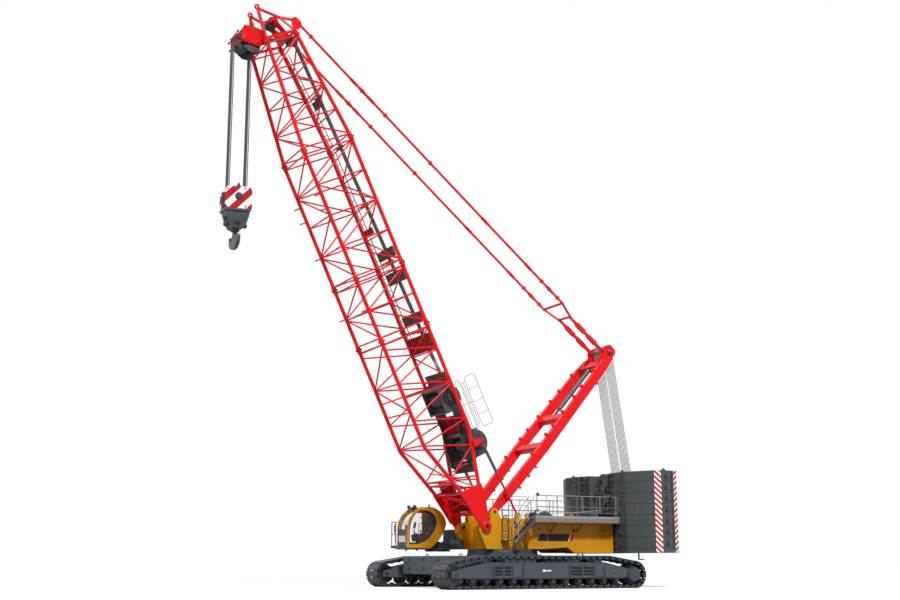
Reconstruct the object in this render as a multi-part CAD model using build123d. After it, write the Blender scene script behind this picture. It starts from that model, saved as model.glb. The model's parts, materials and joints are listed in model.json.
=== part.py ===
"""Crawler crane with a lattice boom, a live mast and stacked rear counterweights.

Millimetres, +X forward (the boom side), +Y to the crane's left, +Z up.
The origin is on the slewing axis, at ground level.
"""

from build123d import *
import math
import os

# ---------------------------------------------------------------- driving sizes
GAP = 0.3                       # seat gap between neighbouring pieces
RUN = 5.0                       # running clearance between moving pieces

# tracks
TRACK_LENGTH = 10000.0
TRACK_SPAN = 8290.0             # outside width over both tracks
SHOE_WIDTH = 1250.0
TRACK_HEIGHT = 1400.0
TRACK_END_RADIUS = 590.0        # outer radius round the end wheels
TRACK_CREST_HALF = 3100.0       # half length of the raised top run
SHOE_COUNT = 62                 # shoes per track
SHOE_FILL = 0.84                # shoe length over shoe pitch
SHOE_THICK = 70.0
LINK_THICK = 90.0
ROLLER_RADIUS = 190.0
ROLLER_PITCH = 650.0
ROLLER_COUNT = 12
ROLLER_WIDTH = 620.0

# track side frames
FRAME_HALF_WIDTH = 470.0
FRAME_HALF_LENGTH = 3900.0
FRAME_BOTTOM = 570.0
FRAME_TOP = 1120.0
SKIRT_DEPTH = 150.0
SKIRT_THICK = 60.0
YOKE_THICK = 130.0
END_WHEEL_WIDTH = 560.0
WHEEL_CLEAR = 12.0              # between an end wheel and the flats of the link belt

# car body between the tracks
CARBODY_HALF_LENGTH = 2100.0
CARBODY_HALF_WIDTH = 1900.0
CARBODY_BOTTOM = 500.0
CARBODY_TOP = 1180.0
BEAM_WIDTH = 720.0              # cross beams that carry the track frames
BEAM_CENTRE = 1700.0
TURRET_RADIUS = 1640.0
CAR_WEIGHT_LENGTH = 1900.0
CAR_WEIGHT_HALF_WIDTH = 2350.0
CAR_WEIGHT_BOTTOM = 600.0
CAR_WEIGHT_SLAB = 394.0

# slewing ring
RING_BOTTOM = 1480.0
RING_SPLIT = 1570.0
RING_TOP = 1680.0
RING_OUTER = 1600.0
RING_INNER = 1400.0

# upper frame
FRONT_HALF_WIDTH = 1250.0
FRONT_X = 1840.0
FRONT_BLOCK_REAR = -450.0
DECK_TOP = 3050.0
HOUSE_HALF_WIDTH = 1500.0
HOUSE_REAR = -5050.0
GIRDER_OUTER = 880.0
GIRDER_INNER = 740.0
WALL = 60.0

# boom pivot and boom
BOOM_PIN_X = 1540.0
BOOM_PIN_Z = 2680.0
BOOM_ANGLE = 65.1               # degrees above the horizontal at rest
BOOM_PIN_RADIUS = 75.0
FOOT_INNER = 1265.0
FOOT_OUTER = 1395.0
CHORD_RADIUS = 85.0
LACE_RADIUS = 36.0
BOOM_HALF_WIDTH = 1300.0
BACK_CHORD = 1080.0             # chord line above the pivot line
BELLY_CHORD = -1340.0           # chord line below the pivot line
HEAD_HALF_WIDTH = 1050.0
HEAD_BACK = 620.0
HEAD_BELLY = -860.0
BASE_BEND = 4350.0
JOINT_1 = 9370.0
JOINT_2 = 12320.0
JOINT_3 = 18420.0
HEAD_END = 23690.0
HEAD_SHAFT = (HEAD_END + 430.0, -1570.0)
HEAD_SHEAVE_RADIUS = 420.0
ROPE_LINE_RADIUS = 375.0

# mast pivot and mast
MAST_PIN_X = 1060.0
MAST_PIN_Z = 3340.0
MAST_ANGLE = 131.0
MAST_LENGTH = 10380.0           # pivot to the tip sheave shaft
MAST_PIN_RADIUS = 60.0

# pendants between boom head and mast tip
PENDANT_HEAD_PIN = (HEAD_END + 390.0, 1020.0)
PENDANT_LINE_Y = 860.0

# upper frame fittings
LUG_THICK = 90.0
LUG_INNER = 900.0               # inner face of the inner lug plates
MAST_FOOT = (1000.0, 1150.0)    # y limits of the mast foot eyes
WINCH_X = -1950.0               # luffing winch shaft
WINCH_Z = 2900.0
WINCH_HALF = 555.0
WINCH_BARREL = 330.0
WINCH_FLANGE = 520.0
WINCH_AXLE = 110.0
RAIL_PITCH = 1050.0             # between guard rail posts
BACKSTOP_Y = 1420.0
BACKSTOP_PIN = (0.0, 3200.0)    # x, z of the lower backstop pins
BACKSTOP_TOP = (3586.0, 1323.0) # on the boom, along it and above its pivot line
BACKSTOP_EYE = 100.0            # thickness of the backstop eyes
BARREL_LENGTH = 1750.0
BARREL_RADIUS = 66.0
ROD_RADIUS = 48.0
ROD_LENGTH = 3060.0
RECESS_MARGIN = 160.0           # from the house's rear to the recess in its side
DOOR_X = [(-4800.0, -3420.0), (-3300.0, -1920.0)]
DOOR_Z = (2060.0, 2800.0)
HINGE_INSET = 35.0              # hinge barrel centre from the opening's edge
WALK_OUTER = HOUSE_HALF_WIDTH + 600.0
WALK_FRONT = -560.0
WALK_TOP = 3060.0
WALK_STRUTS_LEFT = [-4500.0, -3100.0, -1700.0]
WALK_STRUTS_RIGHT = [-4940.0, -1700.0]  # clear of the engine doors as they open
STAIR_INNER = max(RING_OUTER, HOUSE_HALF_WIDTH) + 15.0     # beside the ring and the house
RAIL_RADIUS = 20.0
RAIL_HEIGHT = 1000.0

STAIR_TOP = (WALK_FRONT + GAP, WALK_TOP)
STAIR_FOOT = (350.0, 2080.0)

# counterweights and the carrier between them
STACK_OUTLINE = [               # x from the stack's front face, y; front half
    (-250, 775), (0, 1660), (0, 2600), (-660, 3920), (-960, 4080)]
CARRIER_HALF = 700.0
REAR_SHEAVE = (-6950.0, 3350.0)
REAR_SHEAVE_RADIUS = 330.0

# boom fittings
FOOT_LENGTH = 1850.0
FOOT_BACK = 540.0
FOOT_BELLY = -600.0
FOOT_EYE_RADIUS = 235.0
END_INSET = 150.0               # first lacing station from a section's end
FACE_DEPTH = 2300.0             # mean distance between the chords of a face
LACE_CLEAR = 4.0                # between two lacing tubes at one node
BOOM_SECTIONS = [               # node, start, end, lacing bays
    ("boom_insert_short", JOINT_1, JOINT_2, 2),
    ("boom_insert_long", JOINT_2, JOINT_3, 4),
    ("boom_head_section", JOINT_3, HEAD_END, 4)]
CHORD_STATIONS = [              # along the boom, half width, back line, belly line
    (FOOT_LENGTH, BOOM_HALF_WIDTH, FOOT_BACK - CHORD_RADIUS, FOOT_BELLY + CHORD_RADIUS),
    (BASE_BEND, BOOM_HALF_WIDTH, BACK_CHORD, BELLY_CHORD),
    (JOINT_3, BOOM_HALF_WIDTH, BACK_CHORD, BELLY_CHORD),
    (HEAD_END, HEAD_HALF_WIDTH, HEAD_BACK, HEAD_BELLY)]
BASE_LACING = [                 # along the boom at the back chord, and at the belly chord
    (2050.0, 2530.0), (3550.0, 2530.0), (3550.0, 4440.0), (4750.0, 4440.0), (4750.0, 5600.0),
    (6490.0, 5600.0), (6490.0, 6670.0), (6490.0, 7360.0), (8220.0, 7360.0), (8220.0, 8960.0),
    (9180.0, 9180.0)]
NOSE = (HEAD_END + 1650.0, 500.0, -430.0)      # left front corner of the head frame
CREST = (HEAD_END + 960.0, 640.0, 330.0)       # left upper corner of the head frame
JIB_PIN = (HEAD_END + 1720.0, -430.0)
JIB_PIN_RADIUS = 50.0
HEAD_PLATE = [                  # past the head section's end, height
    (-70, -700), (560, -620), (870, -1000), (1020, -1400), (930, -1480),
    (680, -1640), (450, -1760), (250, -1640), (120, -1330), (-50, -1150)]
ROPE_GUARDS = [(HEAD_END + 960.0, -1380.0), (HEAD_END + 120.0, -1110.0)]
HEAD_AXLE = 80.0
HEAD_PLATE_Y = 560.0
HOIST_SHAFTS = [(5850.0, 1050.0), (3500.0, 1400.0)]
HOIST_FLANGES = [550.0, 600.0]
HOIST_RADIUS = 330.0
HOIST_HALF = 750.0
HOIST_AXLE = 90.0
HOIST_PLATE_Y = 800.0
WINCH_PLATE = [                 # along the boom, height: the drums' bearing plates
    (2650, 560), (2650, 820), (3250, 1580), (3750, 1580), (4450, 1300), (6200, 1300),
    (6620, 1180), (6620, 980), (4600, 800), (3500, 640)]
WINCH_BEAMS = [2760.0, 4640.0, 6540.0]
PENDANT_PIN = 45.0
PENDANT_EYE = 60.0
PENDANT_JOINTS = [780.0, 4120.0, 5640.0, 8690.0, 16470.0, 17000.0, 17600.0]
PENDANT_SPREADER = 17900.0      # from the head pin to the spreader
PENDANT_YOKE = 18800.0          # from the head pin to the yoke's bar
YOKE_PLATE_Y = 440.0

# mast fittings
MAST_LEG_WIDE = 260.0
MAST_LEG_DEEP = 430.0
MAST_WIDEST = 4000.0
MAST_WIDE_Y = 1280.0
MAST_LEG_END = 9950.0
MAST_HEAD_Y = 950.0
MAST_PLATE_Y = 520.0
MAST_AXLE = 70.0
MAST_SHEAVE_RADIUS = 300.0
MAST_CROSSES = [4000.0, 5900.0]
MAST_CYLINDER = (6500.0, 9180.0)
PENDANT_MAST_LOCAL = (10175.0, -351.0)

# operator's cab, on the right
CAB_INNER = -1750.0
CAB_OUTER = -2900.0
CAB_PANEL = 85.0
CAB_SKIN = 50.0
CAB_FLOOR = 1760.0
CAB_TILT = (2150.0, 1950.0)     # x, z of the tilt pivot
CAB_PIN = 30.0
CAB_LUGS = (-2050.0, -2600.0)   # y of the two tilt lugs
CAB_DOOR_SILL = 1965.0
CAB_HINGE = (2686.0, -2918.0)   # x, y of the door's hinge line
DOOR_FRAME = 75.0               # width of the door's frame round its glass
GLASS_REAR = 3250.0             # rear edge of the curved front glass
GLASS_LOW = 2600.0              # lower edge of the front glass
CAB_OUTLINE = [                 # each run ends at its last point; two points make an arc
    [(3980.0, 1760.0)], [(2800.0, 1760.0)], [(2300.0, 2220.0), (2000.0, 2860.0)],
    [(2260.0, 3370.0), (2850.0, 3620.0)], [(3300.0, 3600.0)], [(3720.0, 3300.0), (3980.0, 2600.0)]]
CAB_WINDOW = [
    [(3880.0, 1950.0)], [(3450.0, 1950.0)], [(2850.0, 2270.0), (2500.0, 2900.0)],
    [(2660.0, 3280.0), (3050.0, 3460.0)], [(3330.0, 3460.0)], [(3680.0, 3200.0), (3880.0, 2600.0)]]
CAB_DOOR = [
    [(3870.0, 1965.0)], [(2700.0, 1965.0)], [(2700.0, 3440.0)], [(3250.0, 3480.0)],
    [(3640.0, 3200.0), (3870.0, 2600.0)]]

# hook block, hanging from the head sheaves
BLOCK_SHAFT_Z = 16650.0
HOOK_SHANK = 95.0
ROPE_PARTS = 5
ROPE_PITCH = 130.0
CHEEK_Y = 370.0
HOOK_TOP_Z = 15250.0

# counterweights
STACK_FRONT = -5080.0
STACK_REAR = -7660.0
STACK_BOTTOM = 1540.0
TRAY_THICK = 185.0
SLAB_COUNT = 7
SLAB_HEIGHT = 500.0
SLAB_GAP = 0.5

OUT = "parts"


# ---------------------------------------------------------------- helpers
def solids_of(*shapes):
    """Every solid of the shapes, in one flat list."""
    found = []
    for shape in shapes:
        if isinstance(shape, (list, tuple)):
            found += solids_of(*shape)
        else:
            found += list(shape.solids())
    return found


def join(*shapes):
    """One shape fused from solids that overlap or touch."""
    parts = solids_of(*shapes)
    return parts[0].fuse(*parts[1:]) if len(parts) > 1 else parts[0]


def cut(shape, *tools):
    """The shape less every tool."""
    return shape.cut(*solids_of(*tools))


def save(name, *pieces):
    """Write the pieces as one named node."""
    export_step(Compound(children=solids_of(*pieces)), f"{OUT}/{name}.step")


def block(x, y, z):
    """Box between (low, high) limits on each axis."""
    solid = Solid.make_box(x[1] - x[0], y[1] - y[0], z[1] - z[0])
    return solid.moved(Location((x[0], y[0], z[0])))


def rod(start, end, radius):
    """Round bar from start to end."""
    axis = Vector(*end) - Vector(*start)
    return Solid.make_cylinder(radius, axis.length, Plane(origin=start, z_dir=axis))


def bar(start, end, wide, deep):
    """Rectangular bar from start to end, wide along Y and deep across it."""
    axis = Vector(*end) - Vector(*start)
    plane = Plane(origin=start, x_dir=(0, 1, 0), z_dir=axis)
    solid = Solid.make_box(wide, deep, axis.length)
    return solid.moved(Location((-wide / 2, -deep / 2, 0))).moved(plane.location)


def across(x, z, y, radius):
    """Round bar along Y at (x, z) between the y limits."""
    return rod((x, y[0], z), (x, y[1], z), radius)


def upright(x, y, z, radius):
    """Round bar along Z at (x, y) between the z limits."""
    return rod((x, y, z[0]), (x, y, z[1]), radius)


def side_plate(points, y):
    """Outline of (x, z) points, as thick as the y limits."""
    wire = Polyline(*[(px, y[0], pz) for px, pz in points], close=True)
    return extrude(make_face(wire), amount=y[1] - y[0], dir=(0, 1, 0)).solids()[0]


def flat_plate(points, z):
    """Outline of (x, y) points, as thick as the z limits."""
    wire = Polyline(*[(px, py, z[0]) for px, py in points], close=True)
    return extrude(make_face(wire), amount=z[1] - z[0], dir=(0, 0, 1)).solids()[0]


def cross_plate(points, x):
    """Outline of (y, z) points, as thick as the x limits."""
    wire = Polyline(*[(x[0], py, pz) for py, pz in points], close=True)
    return extrude(make_face(wire), amount=x[1] - x[0], dir=(1, 0, 0)).solids()[0]


def mirrored(shape):
    """The same shape on the other side of the crane."""
    return shape.mirror(Plane.XZ)


def both_sides(shape):
    """The shape and its mirror image."""
    return [shape, mirrored(shape)]


def eye(x, z, y, radius, hole):
    """Round lug along Y with a hole."""
    return cut(across(x, z, y, radius), across(x, z, (y[0] - 1, y[1] + 1), hole))


# ---------------------------------------------------------------- undercarriage
TRACK_Y = (TRACK_SPAN - SHOE_WIDTH) / 2
END_X = TRACK_LENGTH / 2 - TRACK_END_RADIUS
WHEEL_RADIUS = TRACK_END_RADIUS - SHOE_THICK - LINK_THICK - WHEEL_CLEAR


def track_path(inset):
    """Corner stations of the track line: straight runs and end arcs, inset from the outside."""
    radius = TRACK_END_RADIUS - inset
    crest = TRACK_HEIGHT - inset
    run = TRACK_CREST_HALF - END_X
    rise = crest - TRACK_END_RADIUS
    turn = math.atan2(rise, run) - math.acos(radius / math.hypot(rise, run))
    return radius, crest, turn


def track_point(distance, inset):
    """Point and outward direction at a share (0 to 1) of the way round the track."""
    radius, crest, turn = track_path(inset)
    tip = (END_X + radius * math.cos(turn), TRACK_END_RADIUS + radius * math.sin(turn))
    slope = math.hypot(tip[0] - TRACK_CREST_HALF, crest - tip[1])
    arc = radius * (turn + math.pi / 2)
    runs = [END_X, arc, slope, TRACK_CREST_HALF]
    half = sum(runs)
    left = distance * 2 * half
    side = 1
    if left > half:
        left = 2 * half - left
        side = -1
    if left <= runs[0]:
        point, normal = (left, inset), (0.0, -1.0)
    elif left <= runs[0] + arc:
        angle = -math.pi / 2 + (left - runs[0]) / radius
        normal = (math.cos(angle), math.sin(angle))
        point = (END_X + radius * normal[0], TRACK_END_RADIUS + radius * normal[1])
    elif left <= runs[0] + arc + slope:
        along = left - runs[0] - arc
        normal = (math.cos(turn), math.sin(turn))
        point = (tip[0] - along * normal[1], tip[1] + along * normal[0])
    else:
        point, normal = (half - left, crest), (0.0, 1.0)
    return (side * point[0], point[1]), (side * normal[0], normal[1])


def track_loop():
    """One track: a belt of links with a shoe plate standing out at each pitch."""
    outline = []
    for shoe in range(SHOE_COUNT):
        for share, rise in ((-0.5, 0.0), (-0.5, 1.0), (0.5, 1.0), (0.5, 0.0)):
            station = (shoe + 0.5 + share * SHOE_FILL) / SHOE_COUNT
            point, normal = track_point(station, SHOE_THICK)
            lift = rise * SHOE_THICK
            outline.append((point[0] + lift * normal[0], point[1] + lift * normal[1]))
    inner = []
    for step in range(SHOE_COUNT * 2):
        point, _ = track_point(step / (SHOE_COUNT * 2), SHOE_THICK + LINK_THICK)
        inner.append(point)
    y = (TRACK_Y - SHOE_WIDTH / 2, TRACK_Y + SHOE_WIDTH / 2)
    return cut(side_plate(outline, y), side_plate(inner, (y[0] - 1, y[1] + 1)))


def track_frame():
    """Side frame of one track with skirts, end yokes and access steps."""
    inner, outer = TRACK_Y - FRAME_HALF_WIDTH, TRACK_Y + FRAME_HALF_WIDTH
    half = FRAME_HALF_LENGTH
    body = side_plate(
        [(-half, FRAME_BOTTOM), (half, FRAME_BOTTOM), (half, 900), (2900, FRAME_TOP),
         (-2900, FRAME_TOP), (-half, 900)], (inner, outer))
    pieces = [body]
    for low, high in ((inner, inner + SKIRT_THICK), (outer - SKIRT_THICK, outer)):
        pieces.append(block((-half, half), (low, high), (FRAME_BOTTOM - SKIRT_DEPTH, FRAME_BOTTOM)))
    for low, high in ((inner, inner + YOKE_THICK), (outer - YOKE_THICK, outer)):
        arm = side_plate([(-END_X - 190, 470), (-half, 440), (half, 440), (END_X + 190, 470),
                          (END_X + 190, 720), (half, 900), (-half, 900), (-END_X - 190, 720)],
                         (low, high))
        pieces.append(arm)
    frame = join(*pieces)
    wheel_y = END_WHEEL_WIDTH / 2 + RUN
    clear = WHEEL_RADIUS + 12
    pockets = []
    for x in (-END_X, END_X):
        pockets.append(across(x, TRACK_END_RADIUS, (TRACK_Y - wheel_y, TRACK_Y + wheel_y), clear))
        pockets.append(across(x, TRACK_END_RADIUS, (inner - 1, outer + 1), 100 + GAP))
    for x in roller_places():
        pockets.append(across(x, roller_height(), (inner + SKIRT_THICK, outer - SKIRT_THICK),
                              ROLLER_RADIUS + 10))
    return cut(frame, *pockets)


def roller_places():
    """X of each lower roller."""
    first = -ROLLER_PITCH * (ROLLER_COUNT - 1) / 2
    return [first + ROLLER_PITCH * i for i in range(ROLLER_COUNT)]


def roller_height():
    """Axle height of the lower rollers, which run on the link belt."""
    return SHOE_THICK + LINK_THICK + GAP + ROLLER_RADIUS


def track_rollers():
    """Lower rollers of one track, each with its axle into the skirts."""
    rollers = []
    half = ROLLER_WIDTH / 2
    axle = FRAME_HALF_WIDTH - SKIRT_THICK - GAP
    for x in roller_places():
        z = roller_height()
        rollers.append(join(
            across(x, z, (TRACK_Y - half, TRACK_Y - half + 200), ROLLER_RADIUS),
            across(x, z, (TRACK_Y + half - 200, TRACK_Y + half), ROLLER_RADIUS),
            across(x, z, (TRACK_Y - axle, TRACK_Y + axle), 110)))
    return rollers


def end_wheel(x):
    """Sprocket or idler wheel with its axle in the yoke."""
    half = END_WHEEL_WIDTH / 2
    rim = across(x, TRACK_END_RADIUS, (TRACK_Y - half, TRACK_Y + half), WHEEL_RADIUS)
    groove = cut(across(x, TRACK_END_RADIUS, (TRACK_Y - 90, TRACK_Y + 90), WHEEL_RADIUS + 1),
                 across(x, TRACK_END_RADIUS, (TRACK_Y - 91, TRACK_Y + 91), WHEEL_RADIUS - 70))
    axle = across(x, TRACK_END_RADIUS, (TRACK_Y - FRAME_HALF_WIDTH, TRACK_Y + FRAME_HALF_WIDTH), 100)
    return join(cut(rim, groove), axle)


def final_drive():
    """Planetary gear case on the outside of the rear wheel."""
    outer = TRACK_Y + FRAME_HALF_WIDTH + GAP
    x = -END_X
    return join(across(x, TRACK_END_RADIUS, (outer, outer + 60), 330),
                across(x, TRACK_END_RADIUS, (outer + 60, outer + 120), 270),
                across(x, TRACK_END_RADIUS, (outer + 120, outer + 150), 120))


def car_body():
    """Centre box, cross beams and the round seat of the slewing ring."""
    half = CARBODY_HALF_LENGTH
    wide = CARBODY_HALF_WIDTH
    corner = 600
    centre = flat_plate([(half, wide - corner), (half - corner, wide), (corner - half, wide),
                         (-half, wide - corner), (-half, corner - wide), (corner - half, -wide),
                         (half - corner, -wide), (half, corner - wide)],
                        (CARBODY_BOTTOM, CARBODY_TOP))
    pieces = [centre, upright(0, 0, (CARBODY_TOP, RING_BOTTOM), TURRET_RADIUS)]
    reach = TRACK_Y - FRAME_HALF_WIDTH - GAP
    for x in (-BEAM_CENTRE, BEAM_CENTRE):
        pieces.append(block((x - BEAM_WIDTH / 2, x + BEAM_WIDTH / 2), (-reach, reach),
                            (CARBODY_BOTTOM + 60, CARBODY_TOP - 80)))
    well = upright(0, 0, (CARBODY_BOTTOM - 1, RING_BOTTOM + 1), 420)
    return cut(join(*pieces), well)


def car_weight(side):
    """Two stacked slabs in front of the car body (side 1) or behind it (side -1)."""
    near = CARBODY_HALF_LENGTH + GAP
    far = near + CAR_WEIGHT_LENGTH
    wide = CAR_WEIGHT_HALF_WIDTH
    slabs = []
    for level in range(2):
        low = CAR_WEIGHT_BOTTOM + level * (CAR_WEIGHT_SLAB + GAP)
        points = [(side * near, -wide), (side * (far - 200), -wide), (side * far, 200 - wide),
                  (side * far, wide - 200), (side * (far - 200), wide), (side * near, wide)]
        slabs.append(flat_plate(points, (low, low + CAR_WEIGHT_SLAB)))
    return slabs


def ring(z, outer, inner):
    """Flat ring round the slewing axis."""
    return cut(upright(0, 0, z, outer), upright(0, 0, (z[0] - 1, z[1] + 1), inner))


def make_undercarriage():
    loop = track_loop()
    rollers = track_rollers()
    save("track_left", loop)
    save("track_right", mirrored(loop))
    save("track_frames", both_sides(track_frame()))
    save("track_rollers", rollers, [mirrored(roller) for roller in rollers])
    save("track_end_wheels", both_sides(end_wheel(-END_X)), both_sides(end_wheel(END_X)))
    save("final_drives", both_sides(final_drive()))
    save("car_body", car_body())
    save("car_body_weights", car_weight(1), car_weight(-1))
    save("slew_ring_lower", ring((RING_BOTTOM + GAP, RING_SPLIT), RING_OUTER, RING_INNER))


# ---------------------------------------------------------------- upper frame
def upper_frame():
    """Front block with the boom and mast lugs, two rear girders and the deck between them."""
    wide = FRONT_HALF_WIDTH
    rear = FRONT_BLOCK_REAR
    under = DECK_TOP - WALL
    floor_z = (RING_TOP + 10, RING_TOP + 110)
    lug_outline = [
        (rear, floor_z[0]), (1480, floor_z[0]), (FRONT_X, 2500), (1800, BOOM_PIN_Z), (1660, 2860),
        (1290, 2940), (1290, MAST_PIN_Z - 60), (MAST_PIN_X + 160, MAST_PIN_Z + 40),
        (MAST_PIN_X, MAST_PIN_Z + 170), (MAST_PIN_X - 160, MAST_PIN_Z + 40), (760, DECK_TOP),
        (rear, DECK_TOP)]
    cheek = side_plate(lug_outline, (wide - LUG_THICK, wide))
    lug = side_plate(lug_outline, (LUG_INNER, LUG_INNER + LUG_THICK))
    fill = (LUG_INNER + LUG_THICK, wide - LUG_THICK)
    web = block((rear, 600), fill, (floor_z[0], under))
    spacer = side_plate([(600, floor_z[0]), (1480, floor_z[0]), (1800, 2500), (1700, 2800),
                         (600, 2800)], fill)
    side = cut(join(cheek, lug, web, spacer),
               across(BOOM_PIN_X, BOOM_PIN_Z, (0, wide + 1), BOOM_PIN_RADIUS + GAP),
               across(MAST_PIN_X, MAST_PIN_Z, (0, wide + 1), MAST_PIN_RADIUS + GAP))
    pieces = both_sides(side)
    drum_bay = (WINCH_X - 700, WINCH_X + 700)
    pieces += [
        block((rear, 1480), (-LUG_INNER, LUG_INNER), floor_z),
        block((1000, 1000 + WALL), (-LUG_INNER, LUG_INNER), (floor_z[1], 2700)),
        block((rear - WALL, rear), (-wide + LUG_THICK, wide - LUG_THICK), (floor_z[0], under)),
        block((HOUSE_REAR, rear), (-GIRDER_OUTER, GIRDER_OUTER), floor_z),
        block((HOUSE_REAR, HOUSE_REAR + WALL), (-GIRDER_INNER, GIRDER_INNER), (floor_z[1], under)),
        block((drum_bay[1], 700), (-LUG_INNER, LUG_INNER), (under, DECK_TOP)),
        block((HOUSE_REAR, drum_bay[0]), (-GIRDER_OUTER, GIRDER_OUTER), (under, DECK_TOP))]
    for side_piece in (
            block((HOUSE_REAR, rear), (GIRDER_INNER, GIRDER_OUTER), (floor_z[0], under)),
            block(drum_bay, (GIRDER_INNER, GIRDER_OUTER), (under, DECK_TOP)),
            block((WINCH_X - 260, WINCH_X + 260), (WINCH_HALF + 10, WINCH_HALF + 70),
                  (floor_z[1], WINCH_Z + 170)),
            backstop_bracket()):
        pieces += both_sides(side_piece)
    shaft = across(WINCH_X, WINCH_Z, (-WINCH_HALF - 80, WINCH_HALF + 80), 110 + GAP)
    return cut(join(*pieces), shaft)


def eye_cheeks(outline, centre_y):
    """Two plates that straddle a backstop eye."""
    inner = BACKSTOP_EYE / 2 + RUN
    outer = inner + 22
    return [side_plate(outline, (centre_y + inner, centre_y + outer)),
            side_plate(outline, (centre_y - outer, centre_y - inner))]


def backstop_bracket():
    """Bracket beside the front block that holds one lower backstop pin."""
    x, z = BACKSTOP_PIN
    shelf = block((x - 150, x + 150), (FRONT_HALF_WIDTH - 40, BACKSTOP_Y + 100),
                  (DECK_TOP - 160, DECK_TOP - 60))
    outline = [(x - 150, DECK_TOP - 70), (x + 150, DECK_TOP - 70), (x + 110, z + 90),
               (x - 110, z + 90)]
    return join(shelf, *eye_cheeks(outline, BACKSTOP_Y))


def winch_drum(radius, flange, half, axle, reach):
    """Rope drum along Y at the origin: barrel, two flanges and its axle."""
    return join(across(0, 0, (-half, half), radius),
                across(0, 0, (-half, -half + 50), flange),
                across(0, 0, (half - 50, half), flange),
                across(0, 0, (-reach, reach), axle))


def machine_house(engine_side):
    """Hollow side enclosure outside one girder, open to the frame, with a recessed panel."""
    inner = GIRDER_OUTER + GAP
    outer = HOUSE_HALF_WIDTH
    front = FRONT_BLOCK_REAR - WALL - GAP
    top = DECK_TOP - WALL - GAP
    low = RING_TOP + 20
    outline = [(HOUSE_REAR, STACK_BOTTOM), (-2920, STACK_BOTTOM), (-2550, 1780), (-1150, low),
               (front, low), (front, top), (HOUSE_REAR, top)]
    inside = [(HOUSE_REAR + WALL, STACK_BOTTOM + WALL), (-2980, STACK_BOTTOM + WALL),
              (-2550, 1780 + WALL), (-1150, low + WALL), (front - WALL, low + WALL),
              (front - WALL, top - WALL), (HOUSE_REAR + WALL, top - WALL)]
    house = cut(side_plate(outline, (inner, outer)),
                side_plate(inside, (inner - 1, outer - 2 * WALL)),
                block((HOUSE_REAR + RECESS_MARGIN, front - 120), (outer - WALL, outer + 1),
                      (2010, 2850)))
    if engine_side:
        house = cut(house, *[block(x, (outer - 3 * WALL, outer + 1), DOOR_Z) for x in DOOR_X])
    return house


def door_hinge(x):
    """X and Y of the hinge line of the engine door over one opening."""
    return x[1] - HINGE_INSET, -HOUSE_HALF_WIDTH + WALL + 2


def engine_door(x):
    """Hinged cover over one service opening of the engine side, with its hinge barrel."""
    hinge_x, hinge_y = door_hinge(x)
    leaf_y = (hinge_y + 8, hinge_y + 48)
    leaf = block((x[0] + RUN, hinge_x - 8), leaf_y, (DOOR_Z[0] + RUN, DOOR_Z[1] - RUN))
    barrel = upright(hinge_x, hinge_y, (DOOR_Z[0] + GAP, DOOR_Z[1] - GAP), 22)
    return join(leaf, barrel)


def catwalk(brackets):
    """Left walkway beside the house: deck plate, edge beams and diagonal wall struts."""
    inner = HOUSE_HALF_WIDTH + GAP
    outer = WALK_OUTER
    x = (HOUSE_REAR - 20, WALK_FRONT)
    pieces = [block(x, (inner, outer), (WALK_TOP - 30, WALK_TOP)),
              block(x, (inner, inner + 40), (WALK_TOP - 110, WALK_TOP)),
              block(x, (outer - 40, outer), (WALK_TOP - 190, WALK_TOP))]
    for x in brackets:
        in_recess = x > HOUSE_REAR + RECESS_MARGIN
        wall = inner - (WALL if in_recess else 0)
        pieces.append(block((x - 35, x + 35), (wall, wall + 30), (2430, 2530)))
        pieces.append(bar((x, wall + 25, 2490), (x, WALK_OUTER - 25, WALK_TOP - 120), 60, 50))
    return join(*pieces)


def guard_rail(posts):
    """Posts with a top and a middle rail along the walkway's outer edge."""
    y = WALK_OUTER - 20
    base = WALK_TOP + GAP
    top = WALK_TOP + RAIL_HEIGHT
    pieces = [upright(x, y, (base, top), RAIL_RADIUS) for x in posts]
    for z in (top, WALK_TOP + RAIL_HEIGHT / 2):
        pieces.append(rod((posts[0], y, z), (posts[-1], y, z), RAIL_RADIUS))
    return join(*pieces)




def access_stairs():
    """Inclined flight from the left walkway down to the entry step, with two hanging rungs."""
    run = STAIR_FOOT[0] - STAIR_TOP[0]
    rise = STAIR_TOP[1] - STAIR_FOOT[1]
    inner, outer = STAIR_INNER, WALK_OUTER
    pieces = []
    for y in (inner, outer - 30):
        pieces.append(side_plate(
            [(STAIR_TOP[0], STAIR_TOP[1]), (STAIR_TOP[0], STAIR_TOP[1] - 180),
             (STAIR_FOOT[0] - 60, STAIR_FOOT[1] - 60), (STAIR_FOOT[0] - 60, 1650),
             (STAIR_FOOT[0], 1650), (STAIR_FOOT[0], STAIR_FOOT[1] + 60)], (y, y + 30)))
    for step in range(1, 5):
        x = STAIR_TOP[0] + run * step / 5
        z = STAIR_TOP[1] - rise * step / 5
        pieces.append(block((x - 110, x + 60), (inner, outer), (z - 30, z)))
    for z in (1680, 1950):
        pieces.append(block((STAIR_FOOT[0] - 60, STAIR_FOOT[0]), (inner, outer), (z - 25, z)))
    return join(*pieces)


def side_ladder():
    """Upright ladder with a small landing, on the side of the front block."""
    wall = FRONT_HALF_WIDTH + GAP
    pieces = [block((380, 780), (wall, wall + 420), (2040, 2080))]
    for x in (420, 740):
        pieces.append(upright(x, wall + 120, (2080, 3500), RAIL_RADIUS))
        for z in (2300, 2950):
            pieces.append(rod((x, wall, z), (x, wall + 120, z), 14))
    for step in range(5):
        z = 2340 + step * 270
        pieces.append(rod((420, wall + 120, z), (740, wall + 120, z), 14))
    return join(*pieces)


# ---------------------------------------------------------------- counterweights


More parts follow.
